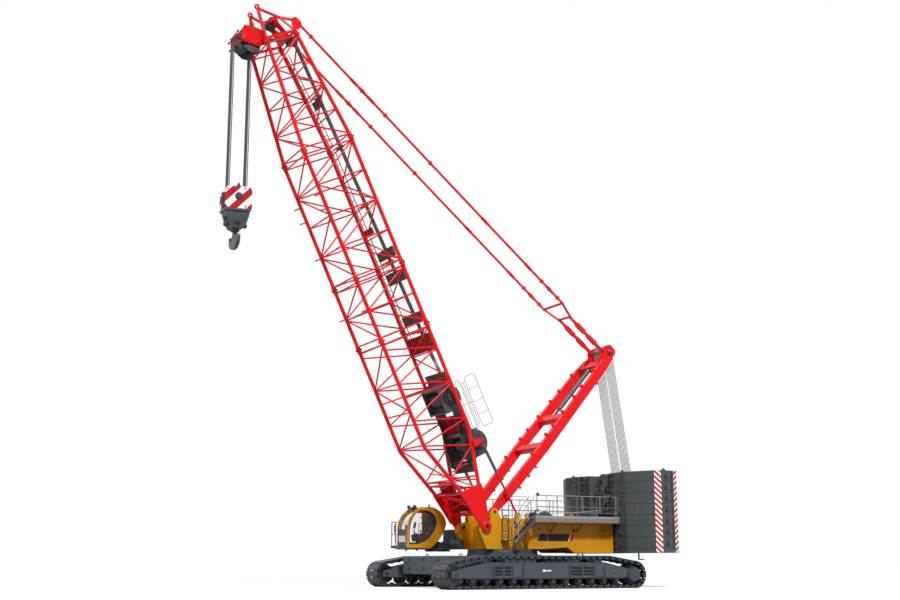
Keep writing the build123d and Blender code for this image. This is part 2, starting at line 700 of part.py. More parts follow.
def stack_points():
    """Plan of one left slab: the front outline and its mirror image at the back."""
    depth = STACK_REAR - STACK_FRONT
    front = [(STACK_FRONT + x, y) for x, y in STACK_OUTLINE]
    back = [(STACK_REAR - x, y) for x, y in reversed(STACK_OUTLINE)]
    assert depth < 0
    return front + back


def slab(bottom):
    """One left slab with bevelled edges and its lifting lugs."""
    height = SLAB_HEIGHT - SLAB_GAP
    body = flat_plate(stack_points(), (0, height))
    body = chamfer(body.faces().filter_by(Axis.Z).edges(), 18).solids()[0]
    middle, side = (STACK_FRONT + STACK_REAR) / 2, STACK_OUTLINE[-1][1]
    lugs = [block((middle - 60, middle + 60), (side - 20, side + 50), (150, 330)),
            block((STACK_FRONT - 20, STACK_FRONT + 60), (2100, 2220), (150, 330))]
    return join(body, *lugs).moved(Location((0, 0, bottom)))


def counterweight_tray():
    """Base tray under one stack, reaching in to the carrier beam."""
    points = stack_points()
    inner = CARRIER_HALF + GAP
    plan = [(points[0][0], inner)] + points + [(points[-1][0], inner)]
    return flat_plate(plan, (STACK_BOTTOM, STACK_BOTTOM + TRAY_THICK))




def rear_carrier():
    """Beam between the two stacks with the guide tower and the luffing sheave cheeks."""
    low = STACK_BOTTOM
    beam = [block((-7150, HOUSE_REAR - GAP), (CARRIER_HALF - 180, CARRIER_HALF), (low, 2350)),
            block((-7150, -6950), (-CARRIER_HALF, CARRIER_HALF), (low, 2350)),
            block((HOUSE_REAR - 160, HOUSE_REAR - GAP), (-CARRIER_HALF, CARRIER_HALF), (low, 2900)),
            block((-7150, HOUSE_REAR - GAP), (-CARRIER_HALF, CARRIER_HALF), (low, low + 80))]
    pieces = beam + [mirrored(beam[0])]
    tower = cross_plate([(-620, 2350), (-450, 2350), (-450, 4700), (-250, 4980), (250, 4980),
                         (450, 4700), (450, 2350), (620, 2350), (620, 4900), (330, 5180),
                         (120, 5280), (-120, 5280), (-330, 5180), (-620, 4900)], (-5700, -5560))
    foot = block((-5800, -5460), (450, CARRIER_HALF), (2300, 2500))
    pieces += [tower, foot, mirrored(foot)]
    x, z = REAR_SHEAVE
    cheek = side_plate([(x - 190, 2300), (x + 420, 2300), (x + 120, z + 120), (x, z + 170),
                        (x - 130, z + 100)], (500, 560))
    pieces += both_sides(cheek)
    shaft = across(x, z, (-600, 600), 70 + GAP)
    return cut(join(*pieces), shaft)


def sheave_set(radius, rope, count, pitch, axle, reach):
    """Grooved sheaves side by side along Y at the origin, on one shaft."""
    width = count * pitch
    grooves = []
    for i in range(count):
        y = -width / 2 + pitch * (i + 0.5)
        face = Polyline((radius + 1, y - pitch * 0.34, 0), (rope, y - pitch * 0.14, 0),
                        (rope, y + pitch * 0.14, 0), (radius + 1, y + pitch * 0.34, 0), close=True)
        grooves.append(revolve(make_face(face), Axis.Y, 360).solids()[0])
    body = cut(across(0, 0, (-width / 2, width / 2), radius), *grooves)
    return join(body, across(0, 0, (-reach, reach), axle))


# ---------------------------------------------------------------- boom
def turned(origin, degrees, s, z):
    """World X and Z of a point s along and z above an arm that leans at an angle."""
    lean = math.radians(degrees)
    return (origin[0] + s * math.cos(lean) - z * math.sin(lean),
            origin[1] + s * math.sin(lean) + z * math.cos(lean))


def place_between(start, end):
    """Placement at start with its +X axis towards end, both in the X-Z plane."""
    lean = math.degrees(math.atan2(end[1] - start[1], end[0] - start[0]))
    return Location((start[0], 0, start[1]), (0, -lean, 0))


BOOM_PIN = (BOOM_PIN_X, BOOM_PIN_Z)
MAST_PIN = (MAST_PIN_X, MAST_PIN_Z)
BOOM_PLACE = Location((BOOM_PIN_X, 0, BOOM_PIN_Z), (0, -BOOM_ANGLE, 0))
MAST_PLACE = Location((MAST_PIN_X, 0, MAST_PIN_Z), (0, -MAST_ANGLE, 0))
PENDANT_LOW = turned(MAST_PIN, MAST_ANGLE, *PENDANT_MAST_LOCAL)
PENDANT_HIGH = turned(BOOM_PIN, BOOM_ANGLE, *PENDANT_HEAD_PIN)
PENDANT_LENGTH = math.dist(PENDANT_LOW, PENDANT_HIGH)
PENDANT_PLACE = place_between(PENDANT_LOW, PENDANT_HIGH)
BACKSTOP_HIGH = turned(BOOM_PIN, BOOM_ANGLE, *BACKSTOP_TOP)
BACKSTOP_LENGTH = math.dist(BACKSTOP_HIGH, BACKSTOP_PIN)
BACKSTOP_PLACE = place_between(BACKSTOP_HIGH, BACKSTOP_PIN)
HEAD_SHAFT_X, HEAD_SHAFT_WORLD_Z = turned(BOOM_PIN, BOOM_ANGLE, *HEAD_SHAFT)


def on_boom(*shapes):
    """Shapes modelled along +X from the boom pivot, moved to the boom's rest angle."""
    return [solid.moved(BOOM_PLACE) for solid in solids_of(*shapes)]


def on_mast(*shapes):
    """Shapes modelled along +X from the mast pivot, moved to the mast's rest angle."""
    return [solid.moved(MAST_PLACE) for solid in solids_of(*shapes)]




def chord_at(s):
    """Half width, back height and belly height of the chords at a place along the boom."""
    for low, high in zip(CHORD_STATIONS, CHORD_STATIONS[1:]):
        if s <= high[0] or high is CHORD_STATIONS[-1]:
            share = (s - low[0]) / (high[0] - low[0])
            return [a + share * (b - a) for a, b in zip(low[1:], high[1:])]


def corner(s, side, back):
    """Chord point at s: side is 1 for left and -1 for right, back is True or False."""
    half, upper, lower = chord_at(s)
    return (s, side * half, upper if back else lower)


def chord(start, end, side, back, radius):
    """One chord tube, bent where the base widens, with ends square to the boom."""
    stops = [start] + [x for x in (BASE_BEND,) if start < x < end] + [end]
    runs = []
    for low, high in zip(stops, stops[1:]):
        near, far = corner(low, side, back), corner(high, side, back)
        spill = 2 * CHORD_RADIUS / math.dist(near, far)
        ends = [tuple(a + (a - b) * spill for a, b in zip(p, q))
                for p, q in ((near, far), (far, near))]
        window = block((low + (GAP if low == BASE_BEND else 0), high), (-2000, 2000), (-2000, 2000))
        runs += solids_of(rod(*ends, radius).intersect(window))
    return runs


def zigzag(stations):
    """Lacing members of evenly braced bays: a strut at each station and one diagonal a bay."""
    members = [(s, s) for s in stations]
    for i, (a, b) in enumerate(zip(stations, stations[1:])):
        members.append((a, b) if i % 2 == 0 else (b, a))
    return members


def inner_edge(start, end, side, back, upright_face):
    """Line along the inside of one chord, a seat gap off its surface, as (s, height) points."""
    stops = [start] + [x for x in (BASE_BEND,) if start < x < end] + [end]
    points = []
    for low, high in zip(stops, stops[1:]):
        ends = [corner(s, side, back)[2 if upright_face else 1] for s in (low, high)]
        inward = -1 if (back if upright_face else side > 0) else 1
        slope = (ends[1] - ends[0]) / (high - low)
        offset = inward * (CHORD_RADIUS + GAP) * math.hypot(1, slope)
        points += [(low + (0 if low == start else 1), ends[0] + offset), (high, ends[1] + offset)]
    return points


def spread(members, place):
    """Shift of each member's end along its chord that keeps neighbours at a node apart."""
    shifts = [0.0] * len(members)
    for node in sorted({member[place] for member in members}):
        here = []
        for index, member in enumerate(members):
            if member[place] == node:
                here.append(((member[1 - place] - node) / FACE_DEPTH, index))
        here.sort()
        middle = min(range(len(here)), key=lambda k: abs(here[k][0]))
        for step in (1, -1):
            k = middle + step
            while 0 <= k < len(here):
                (t0, i0), (t1, i1) = here[k - step], here[k]
                need = LACE_RADIUS * (math.hypot(1, t0) + math.hypot(1, t1)) + LACE_CLEAR
                room = step * CHORD_RADIUS * (t1 - t0) - step * shifts[i0]
                shifts[i1] = step * max(0.0, need - room)
                k += step
    return shifts


def lacing(start, end, members, first, second):
    """Tubes between two chords, each with its ends cut flat along the chords it seats on."""
    upright_face = first[0] == second[0]
    upper = inner_edge(start, end, *first, upright_face)
    lower = inner_edge(start, end, *second, upright_face)
    outline = upper + list(reversed(lower))
    if upright_face:
        window = side_plate(outline, sorted((first[0] * 800, first[0] * 1500)))
    else:
        window = flat_plate(outline, (100, 1500) if first[1] else (-1700, -300))
    pieces = []
    shifts = zip(spread(members, 0), spread(members, 1))
    for (s_first, s_second), (shift_first, shift_second) in zip(members, shifts):
        tube = rod(corner(s_first + shift_first, *first), corner(s_second + shift_second, *second),
                   LACE_RADIUS)
        pieces += solids_of(tube.intersect(window))
    return pieces


def section(start, end, side_members, back_members, belly_members):
    """Four chords of a boom section and the lacing on its four faces."""
    pieces = []
    for side in (1, -1):
        for back in (True, False):
            pieces += chord(start, end, side, back, CHORD_RADIUS)
    for side in (1, -1):
        pieces += lacing(start, end, side_members, (side, True), (side, False))
    pieces += lacing(start, end, back_members, (1, True), (-1, True))
    pieces += lacing(start, end, belly_members, (1, False), (-1, False))
    return pieces


def stations_between(start, end, bays):
    """Evenly spaced lacing stations, set in from both ends."""
    pitch = (end - start - 2 * END_INSET) / bays
    return [start + END_INSET + pitch * i for i in range(bays + 1)]


def boom_foot():
    """Left foot plate with its pivot eye, under the ends of the two left chords."""
    plate = side_plate([(FOOT_LENGTH, FOOT_BELLY), (FOOT_LENGTH, FOOT_BACK),
                        (1340, FOOT_BACK - 10), (510, 290), (150, 175), (0, 0), (60, -190),
                        (550, -350)], (FOOT_INNER, FOOT_OUTER))
    boss = across(0, 0, (FOOT_INNER, FOOT_OUTER), FOOT_EYE_RADIUS)
    hole = across(0, 0, (FOOT_INNER - 1, FOOT_OUTER + 1), BOOM_PIN_RADIUS + GAP)
    return cut(join(plate, boss), hole)


def backstop_mount():
    """Bracket on the left back chord for the upper end of the backstop."""
    s, z = BACKSTOP_TOP
    seat = chord_at(s)[1]
    base = block((s - 170, s + 170), (BOOM_HALF_WIDTH, BACKSTOP_Y + 100), (seat, seat + 140))
    outline = [(s - 170, seat + 100), (s + 170, seat + 100), (s + 80, z + 85), (s - 80, z + 85)]
    reach = BACKSTOP_EYE / 2 + RUN + 50
    pin = across(s, z, (BACKSTOP_Y - reach, BACKSTOP_Y + reach), PENDANT_PIN)
    bracket = join(base, pin, *eye_cheeks(outline, BACKSTOP_Y))
    return cut(bracket, chord(FOOT_LENGTH, JOINT_1, 1, True, CHORD_RADIUS + GAP))


def winch_frame():
    """Two bearing plates and three cross beams between the back chords."""
    pieces = both_sides(side_plate(WINCH_PLATE, (HOIST_PLATE_Y, HOIST_PLATE_Y + 50)))
    tools = solids_of([chord(FOOT_LENGTH, JOINT_1, side, True, CHORD_RADIUS + GAP) for side in (1, -1)])
    for s in WINCH_BEAMS:
        half, z = chord_at(s)[:2]
        pieces.append(cut(rod((s, -half, z), (s, half, z), 70), *tools))
    shafts = [across(s, z, (-1000, 1000), HOIST_AXLE + GAP) for s, z in HOIST_SHAFTS]
    return cut(join(*pieces), *shafts)


def boom_head():
    """Head frame: sheave plates, tie eyes, pendant lugs and nose pins."""
    start = HEAD_END + 90
    shaft_s, shaft_z = HEAD_SHAFT
    pin_s, pin_z = PENDANT_HEAD_PIN
    pieces = []
    for side in (1, -1):
        belly = (start, side * HEAD_HALF_WIDTH, HEAD_BELLY)
        back = (start, side * HEAD_HALF_WIDTH, HEAD_BACK)
        front = (NOSE[0], side * NOSE[1], NOSE[2])
        middle = (CREST[0], side * CREST[1], CREST[2])
        rear = (pin_s + 260, side * PENDANT_LINE_Y, pin_z - 230)
        halfway = tuple((a + b) / 2 for a, b in zip(belly, front))
        for a, b, size in ((belly, back, 105), (belly, front, 115), (front, middle, 95),
                           (middle, rear, 95), (back, rear, 105), (middle, back, 70),
                           (middle, halfway, 70)):
            pieces.append(bar(a, b, size, size))
        for point in (belly, back):
            pieces.append(rod((HEAD_END + GAP, point[1], point[2]), (start + 110,) + point[1:], 92))
        for point, radius in ((front, 80), (middle, 75), (rear, 80)):
            pieces.append(Solid.make_sphere(radius, angle1=-90).moved(Location(point)))
        pieces.append(across(*JIB_PIN, sorted((side * (NOSE[1] - 45), side * (NOSE[1] + 45))), 115))
    plate = [(HEAD_END + s, z) for s, z in HEAD_PLATE]
    lug = [(pin_s - 220, HEAD_BACK + 60), (pin_s + 320, pin_z - 260), (pin_s + 330, pin_z - 40),
           (pin_s + 90, pin_z + 100), (pin_s - 90, pin_z + 100), (pin_s - 220, pin_z - 60)]
    gap = PENDANT_EYE / 2 + RUN
    for low, high, shape in ((HEAD_PLATE_Y, HEAD_PLATE_Y + 40, plate),
                             (PENDANT_LINE_Y + gap, PENDANT_LINE_Y + gap + 40, lug),
                             (PENDANT_LINE_Y - gap - 40, PENDANT_LINE_Y - gap, lug)):
        pieces += both_sides(side_plate(shape, (low, high)))
    half = HEAD_HALF_WIDTH
    pieces += [across(start, HEAD_BELLY, (-half, half), 75), across(start, HEAD_BACK, (-half, half), 60)]
    nose = HEAD_PLATE_Y + 20
    for s, z in ROPE_GUARDS:
        pieces.append(across(s, z, (-nose, nose), 45))
    holes = [across(shaft_s, shaft_z, (-700, 700), HEAD_AXLE + GAP)]
    for side in (1, -1):
        holes.append(across(*JIB_PIN, sorted((side * 400, side * 600)), JIB_PIN_RADIUS))
        holes.append(across(pin_s, pin_z, sorted((side * 700, side * 1000)), PENDANT_PIN))
    return cut(join(*on_boom(pieces)), *on_boom(holes))


def make_boom():
    save("boom_feet", on_boom(*both_sides(boom_foot())))
    back = [(2200.0, 2200.0)] + zigzag([6760.0, 8100.0, 9220.0])
    belly = zigzag([2530.0, 4440.0, 6000.0, 7360.0, 9220.0])
    save("boom_base", on_boom(section(FOOT_LENGTH + GAP, JOINT_1 - GAP, BASE_LACING, back, belly)))
    save("backstop_brackets", on_boom(*both_sides(backstop_mount())))
    save("hoist_winch_frame", on_boom(winch_frame()))
    for name, (s, z), flange in zip(("upper", "lower"), HOIST_SHAFTS, HOIST_FLANGES):
        drum = winch_drum(HOIST_RADIUS, flange, HOIST_HALF, HOIST_AXLE, HOIST_PLATE_Y + 110)
        save(f"hoist_drum_{name}", on_boom(drum.moved(Location((s, 0, z)))))
    for name, start, end, bays in BOOM_SECTIONS:
        members = zigzag(stations_between(start, end, bays))
        save(name, on_boom(section(start + GAP, end - GAP, members, members, members)))
    save("boom_head", boom_head())


# ---------------------------------------------------------------- mast
def mast_leg():
    """Left leg: a box tube that narrows to its foot eye and closes in to the mast head."""
    half = MAST_LEG_WIDE / 2
    low, high = MAST_FOOT
    foot = (low + high) / 2
    plan = [(-200, low), (-200, high), (420, high), (900, foot + 35 + half),
            (MAST_WIDEST, MAST_WIDE_Y + half), (MAST_LEG_END, MAST_HEAD_Y + half),
            (MAST_LEG_END, MAST_HEAD_Y - half), (MAST_WIDEST, MAST_WIDE_Y - half),
            (900, foot + 35 - half), (420, low)]
    deep = MAST_LEG_DEEP / 2
    side = side_plate([(0, -150), (700, -deep), (MAST_LEG_END - 700, -deep), (MAST_LEG_END, -150),
                       (MAST_LEG_END, 150), (MAST_LEG_END - 700, deep), (700, deep), (0, 150)],
                      (low - 200, high + 400))
    side = join(side, across(0, 0, (low - 200, high + 400), 185))
    leg = solids_of(flat_plate(plan, (-300, 300)).intersect(side))[0]
    return cut(leg, across(0, 0, (low - 1, high + 1), MAST_PIN_RADIUS + GAP))


def mast_head():
    """Cross box between the leg ends with the plates that hold the tip sheaves."""
    deep = 170.0
    inner = MAST_HEAD_Y - MAST_LEG_WIDE / 2 - GAP
    box = block((MAST_LEG_END - 700, MAST_LEG_END - 330), (-inner, inner), (-deep, deep))
    s_pin, z_pin = PENDANT_MAST_LOCAL
    outline = [(MAST_LEG_END - 700, deep), (MAST_LEG_END - 700, -deep),
               (MAST_LEG_END - 60, -deep - 120), (s_pin - 110, z_pin - 100),
               (s_pin + 90, z_pin - 100), (MAST_LENGTH + 170, -330), (MAST_LENGTH + 340, -190),
               (MAST_LENGTH + 340, 150), (MAST_LENGTH + 200, 300), (MAST_LENGTH - 150, 310)]
    plate = side_plate(outline, (MAST_PLATE_Y, MAST_PLATE_Y + 40))
    ear = block((MAST_LEG_END - 600, MAST_LEG_END - 100), (MAST_PLATE_Y + 20, inner), (-110, 110))
    holes = [across(MAST_LENGTH, 0, (-700, 700), MAST_AXLE + GAP),
             across(s_pin, z_pin, (-700, 700), PENDANT_PIN + GAP)]
    return cut(join(box, *both_sides(plate), *both_sides(ear)), *holes)


def mast_cross(s, deep):
    """Box member between the legs."""
    share = (s - MAST_WIDEST) / (MAST_LEG_END - MAST_WIDEST)
    y = MAST_WIDE_Y + share * (MAST_HEAD_Y - MAST_WIDE_Y)
    reach = y - MAST_LEG_WIDE / 2 + 30
    return block((s - 170, s + 170), (-reach, reach), (-deep, deep))


def make_mast():
    legs = both_sides(mast_leg())
    reach = MAST_LEG_WIDE / 2 + 2 * GAP
    slots = [(900, MAST_FOOT[0] + 110), (MAST_WIDEST, MAST_WIDE_Y), (MAST_LEG_END, MAST_HEAD_Y)]
    plan = [(s, y - reach) for s, y in slots] + [(s, y + reach) for s, y in reversed(slots)]
    tools = both_sides(flat_plate(plan, (-400, 400)))
    crosses = [cut(mast_cross(s, 140), *tools) for s in MAST_CROSSES]
    save("mast_frame", on_mast(*legs, *crosses))
    save("mast_head", on_mast(mast_head()))
    sheaves = sheave_set(MAST_SHEAVE_RADIUS, MAST_SHEAVE_RADIUS - 35, 8, 100, MAST_AXLE,
                         MAST_PLATE_Y + 60)
    save("mast_sheaves", on_mast(sheaves.moved(Location((MAST_LENGTH, 0, 0)))))
    start, end = MAST_CYLINDER
    barrel = rod((start, 0, -60), (end, 0, -60), 105)
    stem = rod((MAST_CROSSES[1] + 170 + GAP, 0, -60), (start + 10, 0, -60), 60)
    nose = rod((end - 10, 0, -60), (MAST_LEG_END - 700 - GAP, 0, -60), 50)
    save("mast_cylinder", on_mast(join(barrel, stem, nose)))


# ---------------------------------------------------------------- pendants and backstops
def make_pendants():
    """Two bar lines from the boom head, and the yoke that pins them to the mast head."""
    line_end = PENDANT_LENGTH - PENDANT_SPREADER
    y = PENDANT_LINE_Y
    pieces = [bar((line_end + GAP, y, 0), (PENDANT_LENGTH, y, 0), 50, 100),
              eye(PENDANT_LENGTH, 0, (y - PENDANT_EYE / 2, y + PENDANT_EYE / 2), 90, 1)]
    for place in PENDANT_JOINTS:
        s = PENDANT_LENGTH - place
        pieces.append(across(s, 0, (y - 45, y + 45), 95))
    line = join(*pieces)
    line = cut(line, across(PENDANT_LENGTH, 0, (y - 100, y + 100), PENDANT_PIN + GAP))
    save("pendant_lines", on_pendant(*both_sides(line)))
    yoke = line_end - 60
    tip = PENDANT_LENGTH - PENDANT_YOKE
    pieces = [across(yoke, 0, (-y - 60, y + 60), 60), across(tip, 0, (-560, 560), 55)]
    plates = side_plate([(tip - 60, -60), (tip + 60, -60), (tip + 60, 60), (tip - 60, 60),
                         (60, 90), (-60, 70), (-90, 0), (-60, -70), (60, -90)],
                        (YOKE_PLATE_Y, YOKE_PLATE_Y + 60))
    stub = across(0, 0, (YOKE_PLATE_Y, MAST_PLATE_Y + 55), PENDANT_PIN)
    for shape in (bar((yoke, y, 0), (tip, 520, 0), 60, 90), plates, stub):
        pieces += both_sides(shape)
    save("pendant_yoke", on_pendant(join(*pieces)))


def on_pendant(*shapes):
    """Shapes modelled along +X from the mast head pin, moved to the pendants' rest line."""
    return [solid.moved(PENDANT_PLACE) for solid in solids_of(*shapes)]


def make_backstops():
    """Telescoping struts between the boom and the upper frame, one at each side."""
    y = BACKSTOP_Y
    half = BACKSTOP_EYE / 2
    barrel = join(across(0, 0, (y - half, y + half), 85),
                  rod((40, y, 0), (170, y, 0), 45),
                  rod((160, y, 0), (BARREL_LENGTH, y, 0), BARREL_RADIUS))
    barrel = cut(barrel, rod((200, y, 0), (BARREL_LENGTH + 1, y, 0), ROD_RADIUS + GAP),
                 across(0, 0, (y - 100, y + 100), PENDANT_PIN + GAP))
    strut = join(rod((BACKSTOP_LENGTH - ROD_LENGTH, y, 0), (BACKSTOP_LENGTH - 40, y, 0), ROD_RADIUS),
                 across(BACKSTOP_LENGTH, 0, (y - half, y + half), 85))
    strut = cut(strut, across(BACKSTOP_LENGTH, 0, (y - 100, y + 100), PENDANT_PIN + GAP))
    for name, shapes in (("left", [barrel, strut]), ("right", [mirrored(barrel), mirrored(strut)])):
        save(f"backstop_barrel_{name}", shapes[0].moved(BACKSTOP_PLACE))
        save(f"backstop_rod_{name}", shapes[1].moved(BACKSTOP_PLACE))


# ---------------------------------------------------------------- hoist block
def hook_block():
    """Two ballasted cheek plates with the swivel block of the hook below them."""
    x, z = HEAD_SHAFT_X, BLOCK_SHAFT_Z
    low, high = z - 550, z + 500
    cheek = [(x - 300, low), (x + 300, low), (x + 550, low + 290), (x + 550, high - 290),
             (x + 300, high), (x - 300, high), (x - 550, high - 290), (x - 550, low + 290)]
    pieces = both_sides(side_plate(cheek, (CHEEK_Y - 30, CHEEK_Y + 60)))
    peak = side_plate([(x - 170, high - 60), (x + 170, high - 60), (x + 60, high + 230),
                       (x - 60, high + 230)], (-30, 30))
    bridge = block((x - 120, x + 120), (-CHEEK_Y, CHEEK_Y), (high - 60, high - 10))
    lower = cross_plate([(-CHEEK_Y - 60, low + 60), (-CHEEK_Y - 60, low - 150), (-230, HOOK_TOP_Z + 40),
                         (230, HOOK_TOP_Z + 40), (CHEEK_Y + 60, low - 150), (CHEEK_Y + 60, low + 60),
                         (CHEEK_Y - 30, low + 60), (CHEEK_Y - 30, low), (30 - CHEEK_Y, low),
                         (30 - CHEEK_Y, low + 60)], (x - 260, x + 260))
    pieces += [peak, bridge, lower]
    holes = [across(x, z, (-700, 700), HEAD_AXLE + GAP),
             upright(x, 0, (HOOK_TOP_Z, low + 1), HOOK_SHANK + GAP)]
    return cut(join(*pieces), *holes)


def ramshorn_hook():
    """Double hook across the crane: a shank, a swivel nut and two opposed horns."""
    x, top = HEAD_SHAFT_X, HOOK_TOP_Z
    outline = [(-80, top + 20), (-80, top - 170), (-190, top - 300), (-230, top - 430),
               (-330, top - 505), (-450, top - 480), (-500, top - 380), (-480, top - 280),
               (-560, top - 300), (-610, top - 420), (-580, top - 620), (-430, top - 780),
               (-200, top - 870), (0, top - 890)]
    half = outline + [(-y, z) for y, z in reversed(outline[:-1])]
    body = cross_plate(half, (x - 80, x + 80))
    shank = upright(x, 0, (top - 30, BLOCK_SHAFT_Z - 550 - 60), HOOK_SHANK)
    return join(body, shank, upright(x, 0, (top - 40, top + 40 - GAP), 150))


def make_hook_block():
    save("head_sheaves", sheave_set(HEAD_SHEAVE_RADIUS, ROPE_LINE_RADIUS, ROPE_PARTS, ROPE_PITCH,
                                    HEAD_AXLE, HEAD_PLATE_Y + 90).moved(
                                        Location((HEAD_SHAFT_X, 0, HEAD_SHAFT_WORLD_Z))))
    save("hook_block", hook_block())
    save("hook_sheaves", sheave_set(HEAD_SHEAVE_RADIUS, ROPE_LINE_RADIUS, ROPE_PARTS, ROPE_PITCH,
                                    HEAD_AXLE, CHEEK_Y + 110).moved(
                                        Location((HEAD_SHAFT_X, 0, BLOCK_SHAFT_Z))))
    save("hook", ramshorn_hook())


# ---------------------------------------------------------------- cab
def profile(segments, y):
    """Closed side outline of lines and arcs as a solid between the y limits."""
    edges = []
    here = segments[0][-1]
    for segment in segments[1:]:
        points = [here] + list(segment)
        spots = [(px, y[0], pz) for px, pz in points]
        edges.append(Line(*spots) if len(spots) == 2 else ThreePointArc(*spots))
        here = points[-1]
    edges.append(Line((here[0], y[0], here[1]),
                      (segments[0][-1][0], y[0], segments[0][-1][1])))
    return extrude(make_face(Wire([e.edge() for e in edges])), amount=y[1] - y[0],
                   dir=(0, 1, 0)).solids()[0]


def shrink(segments, inset):
    """The outline moved in by an inset, each point towards the cab's middle."""
    middle_x = (CAB_OUTLINE[0][0][0] + CAB_OUTLINE[2][-1][0]) / 2
    middle_z = (CAB_OUTLINE[0][0][1] + CAB_OUTLINE[3][-1][1]) / 2
    moved = []
    for segment in segments:
        points = []
        for x, z in segment:
            reach = ((x - middle_x) ** 2 + (z - middle_z) ** 2) ** 0.5
            points.append((x - inset * (x - middle_x) / reach, z - inset * (z - middle_z) / reach))
        moved.append(points)
    return moved


def make_cab():
    left = (CAB_INNER - CAB_PANEL, CAB_INNER)
    right = (CAB_OUTER, CAB_OUTER + CAB_PANEL)
    between = (right[1] + GAP, left[0] - GAP)
    beyond = (CAB_OUTER - 100, CAB_INNER + 100)
    window = profile(CAB_WINDOW, beyond)
    side_left = cut(profile(CAB_OUTLINE, left), window)
    save("cab_side_left", side_left)
    door_hole = profile(CAB_DOOR, beyond)
    hinge_x, hinge_y = CAB_HINGE
    knuckles = []
    for z in (CAB_DOOR_SILL + 40 - GAP - 60, CAB_DOOR_SILL + 1300 + GAP):
        knuckles.append(upright(hinge_x, hinge_y, (z, z + 60), 14))
        knuckles.append(block((hinge_x - 60, hinge_x), (hinge_y - 8, CAB_OUTER + 10), (z, z + 60)))
    save("cab_side_right", join(cut(profile(CAB_OUTLINE, right), door_hole), *knuckles))
    leaf = profile(shrink(CAB_DOOR, RUN), (right[0], right[1] - RUN))
    leaf = cut(leaf, profile(shrink(CAB_DOOR, DOOR_FRAME), beyond))
    barrel = upright(hinge_x, hinge_y, (CAB_DOOR_SILL + 40, CAB_DOOR_SILL + 1300), 14)
    arms = []
    for z in (CAB_DOOR_SILL + 80, CAB_DOOR_SILL + 1180):
        arms.append(block((hinge_x, hinge_x + 90), (hinge_y - 8, CAB_OUTER - 3), (z, z + 60)))
        arms.append(block((hinge_x + 24, hinge_x + 90), (hinge_y - 8, CAB_OUTER + 10), (z, z + 60)))
    save("cab_door", join(leaf, barrel, *arms))
    pane_y = (right[0] + 35, right[0] + 41)
    save("cab_door_glass", profile(shrink(CAB_DOOR, DOOR_FRAME + GAP), pane_y))
    outer = profile(CAB_OUTLINE, between)
    ring_shape = cut(outer, profile(shrink(CAB_OUTLINE, CAB_SKIN), beyond))
    everywhere = (-3100, -1500)
    front_cut = block((GLASS_REAR, 4200), everywhere, (GLASS_LOW, 3800))
    low_cut = block((2900, 4200), everywhere, (1600, GLASS_LOW - GAP))
    floor_cut = block((1800, 4200), everywhere, (1600, CAB_FLOOR + CAB_SKIN))
    skin = cut(ring_shape, block((GLASS_REAR - GAP, 4200), everywhere, (GLASS_LOW - GAP, 3800)),
               low_cut, block((1800, 4200), everywhere, (1600, CAB_FLOOR + CAB_SKIN + GAP)))
    save("cab_shell", skin)
    front = solids_of(ring_shape.intersect(front_cut))
    pane = profile(shrink(CAB_WINDOW, GAP), (left[0] + 30, left[0] + 36))
    save("cab_glass", *front, pane)
    panel = cut(solids_of(ring_shape.intersect(low_cut))[0], block((1800, 4200), everywhere,
                                                                (1600, CAB_FLOOR + CAB_SKIN + GAP)))
    save("cab_front_panel", panel)
    tilt_x, tilt_z = CAB_TILT
    lugs = []
    body = profile(CAB_OUTLINE, beyond)
    for y in CAB_LUGS:
        plate = side_plate([(tilt_x - 60, tilt_z - 60), (tilt_x - 60, tilt_z + 70),
                            (tilt_x + 60, tilt_z + 90), (2500, 2150), (3100, 1790), (3100, 1690),
                            (2700, 1690)], (y - 30, y + 30))
        lugs.append(cut(plate, body, across(tilt_x, tilt_z, (-3000, -1500), CAB_PIN + GAP)))
    floor = solids_of(outer.intersect(floor_cut))[0]
    beam = block((2760, 3900), (CAB_LUGS[1] - 30, CAB_LUGS[0] + 30), (1690, CAB_FLOOR))
    save("cab_floor", join(floor, beam, *lugs))
    seat = join(block((2620, 3120), (-2600, -2080), (2180, 2300)),
                side_plate([(2500, 2250), (2640, 2250), (2560, 2950), (2440, 2950)], (-2580, -2100)),
                block((2860, 3100), (-2480, -2200), (CAB_FLOOR + CAB_SKIN + GAP, 2190)))
    consoles = [join(block((2750, 3300), y, (2050, 2400)),
                     block((2900, 3150), y, (CAB_FLOOR + CAB_SKIN + GAP, 2060)))
                for y in ((-2780, -2640), (-2040, -1900))]
    save("cab_seat", seat, *consoles)
    walk = join(block((2100, 4080), (CAB_OUTER - 500, CAB_OUTER - 25), (1830, 1870)),
                block((2100, 4080), (CAB_OUTER - 500, CAB_OUTER - 460), (1760, 1870)),
                block((2100, 4080), (CAB_OUTER - 65, CAB_OUTER - 25), (1760, 1870)),
                *[block((x - 50, x + 50), (CAB_OUTER - 480, CAB_LUGS[1] - 30 - GAP), (1695, 1765 - RUN))
                  for x in (2900, 3700)])
    rail = [upright(x, y, (1850, 2950), RAIL_RADIUS)
            for x, y in ((4050, CAB_OUTER - 470), (4050, CAB_OUTER - 60))]
    rail += [rod((4050, CAB_OUTER - 470, z), (4050, CAB_OUTER - 60, z), RAIL_RADIUS)
             for z in (2400, 2950)]
    save("cab_walkway", join(walk, *rail))


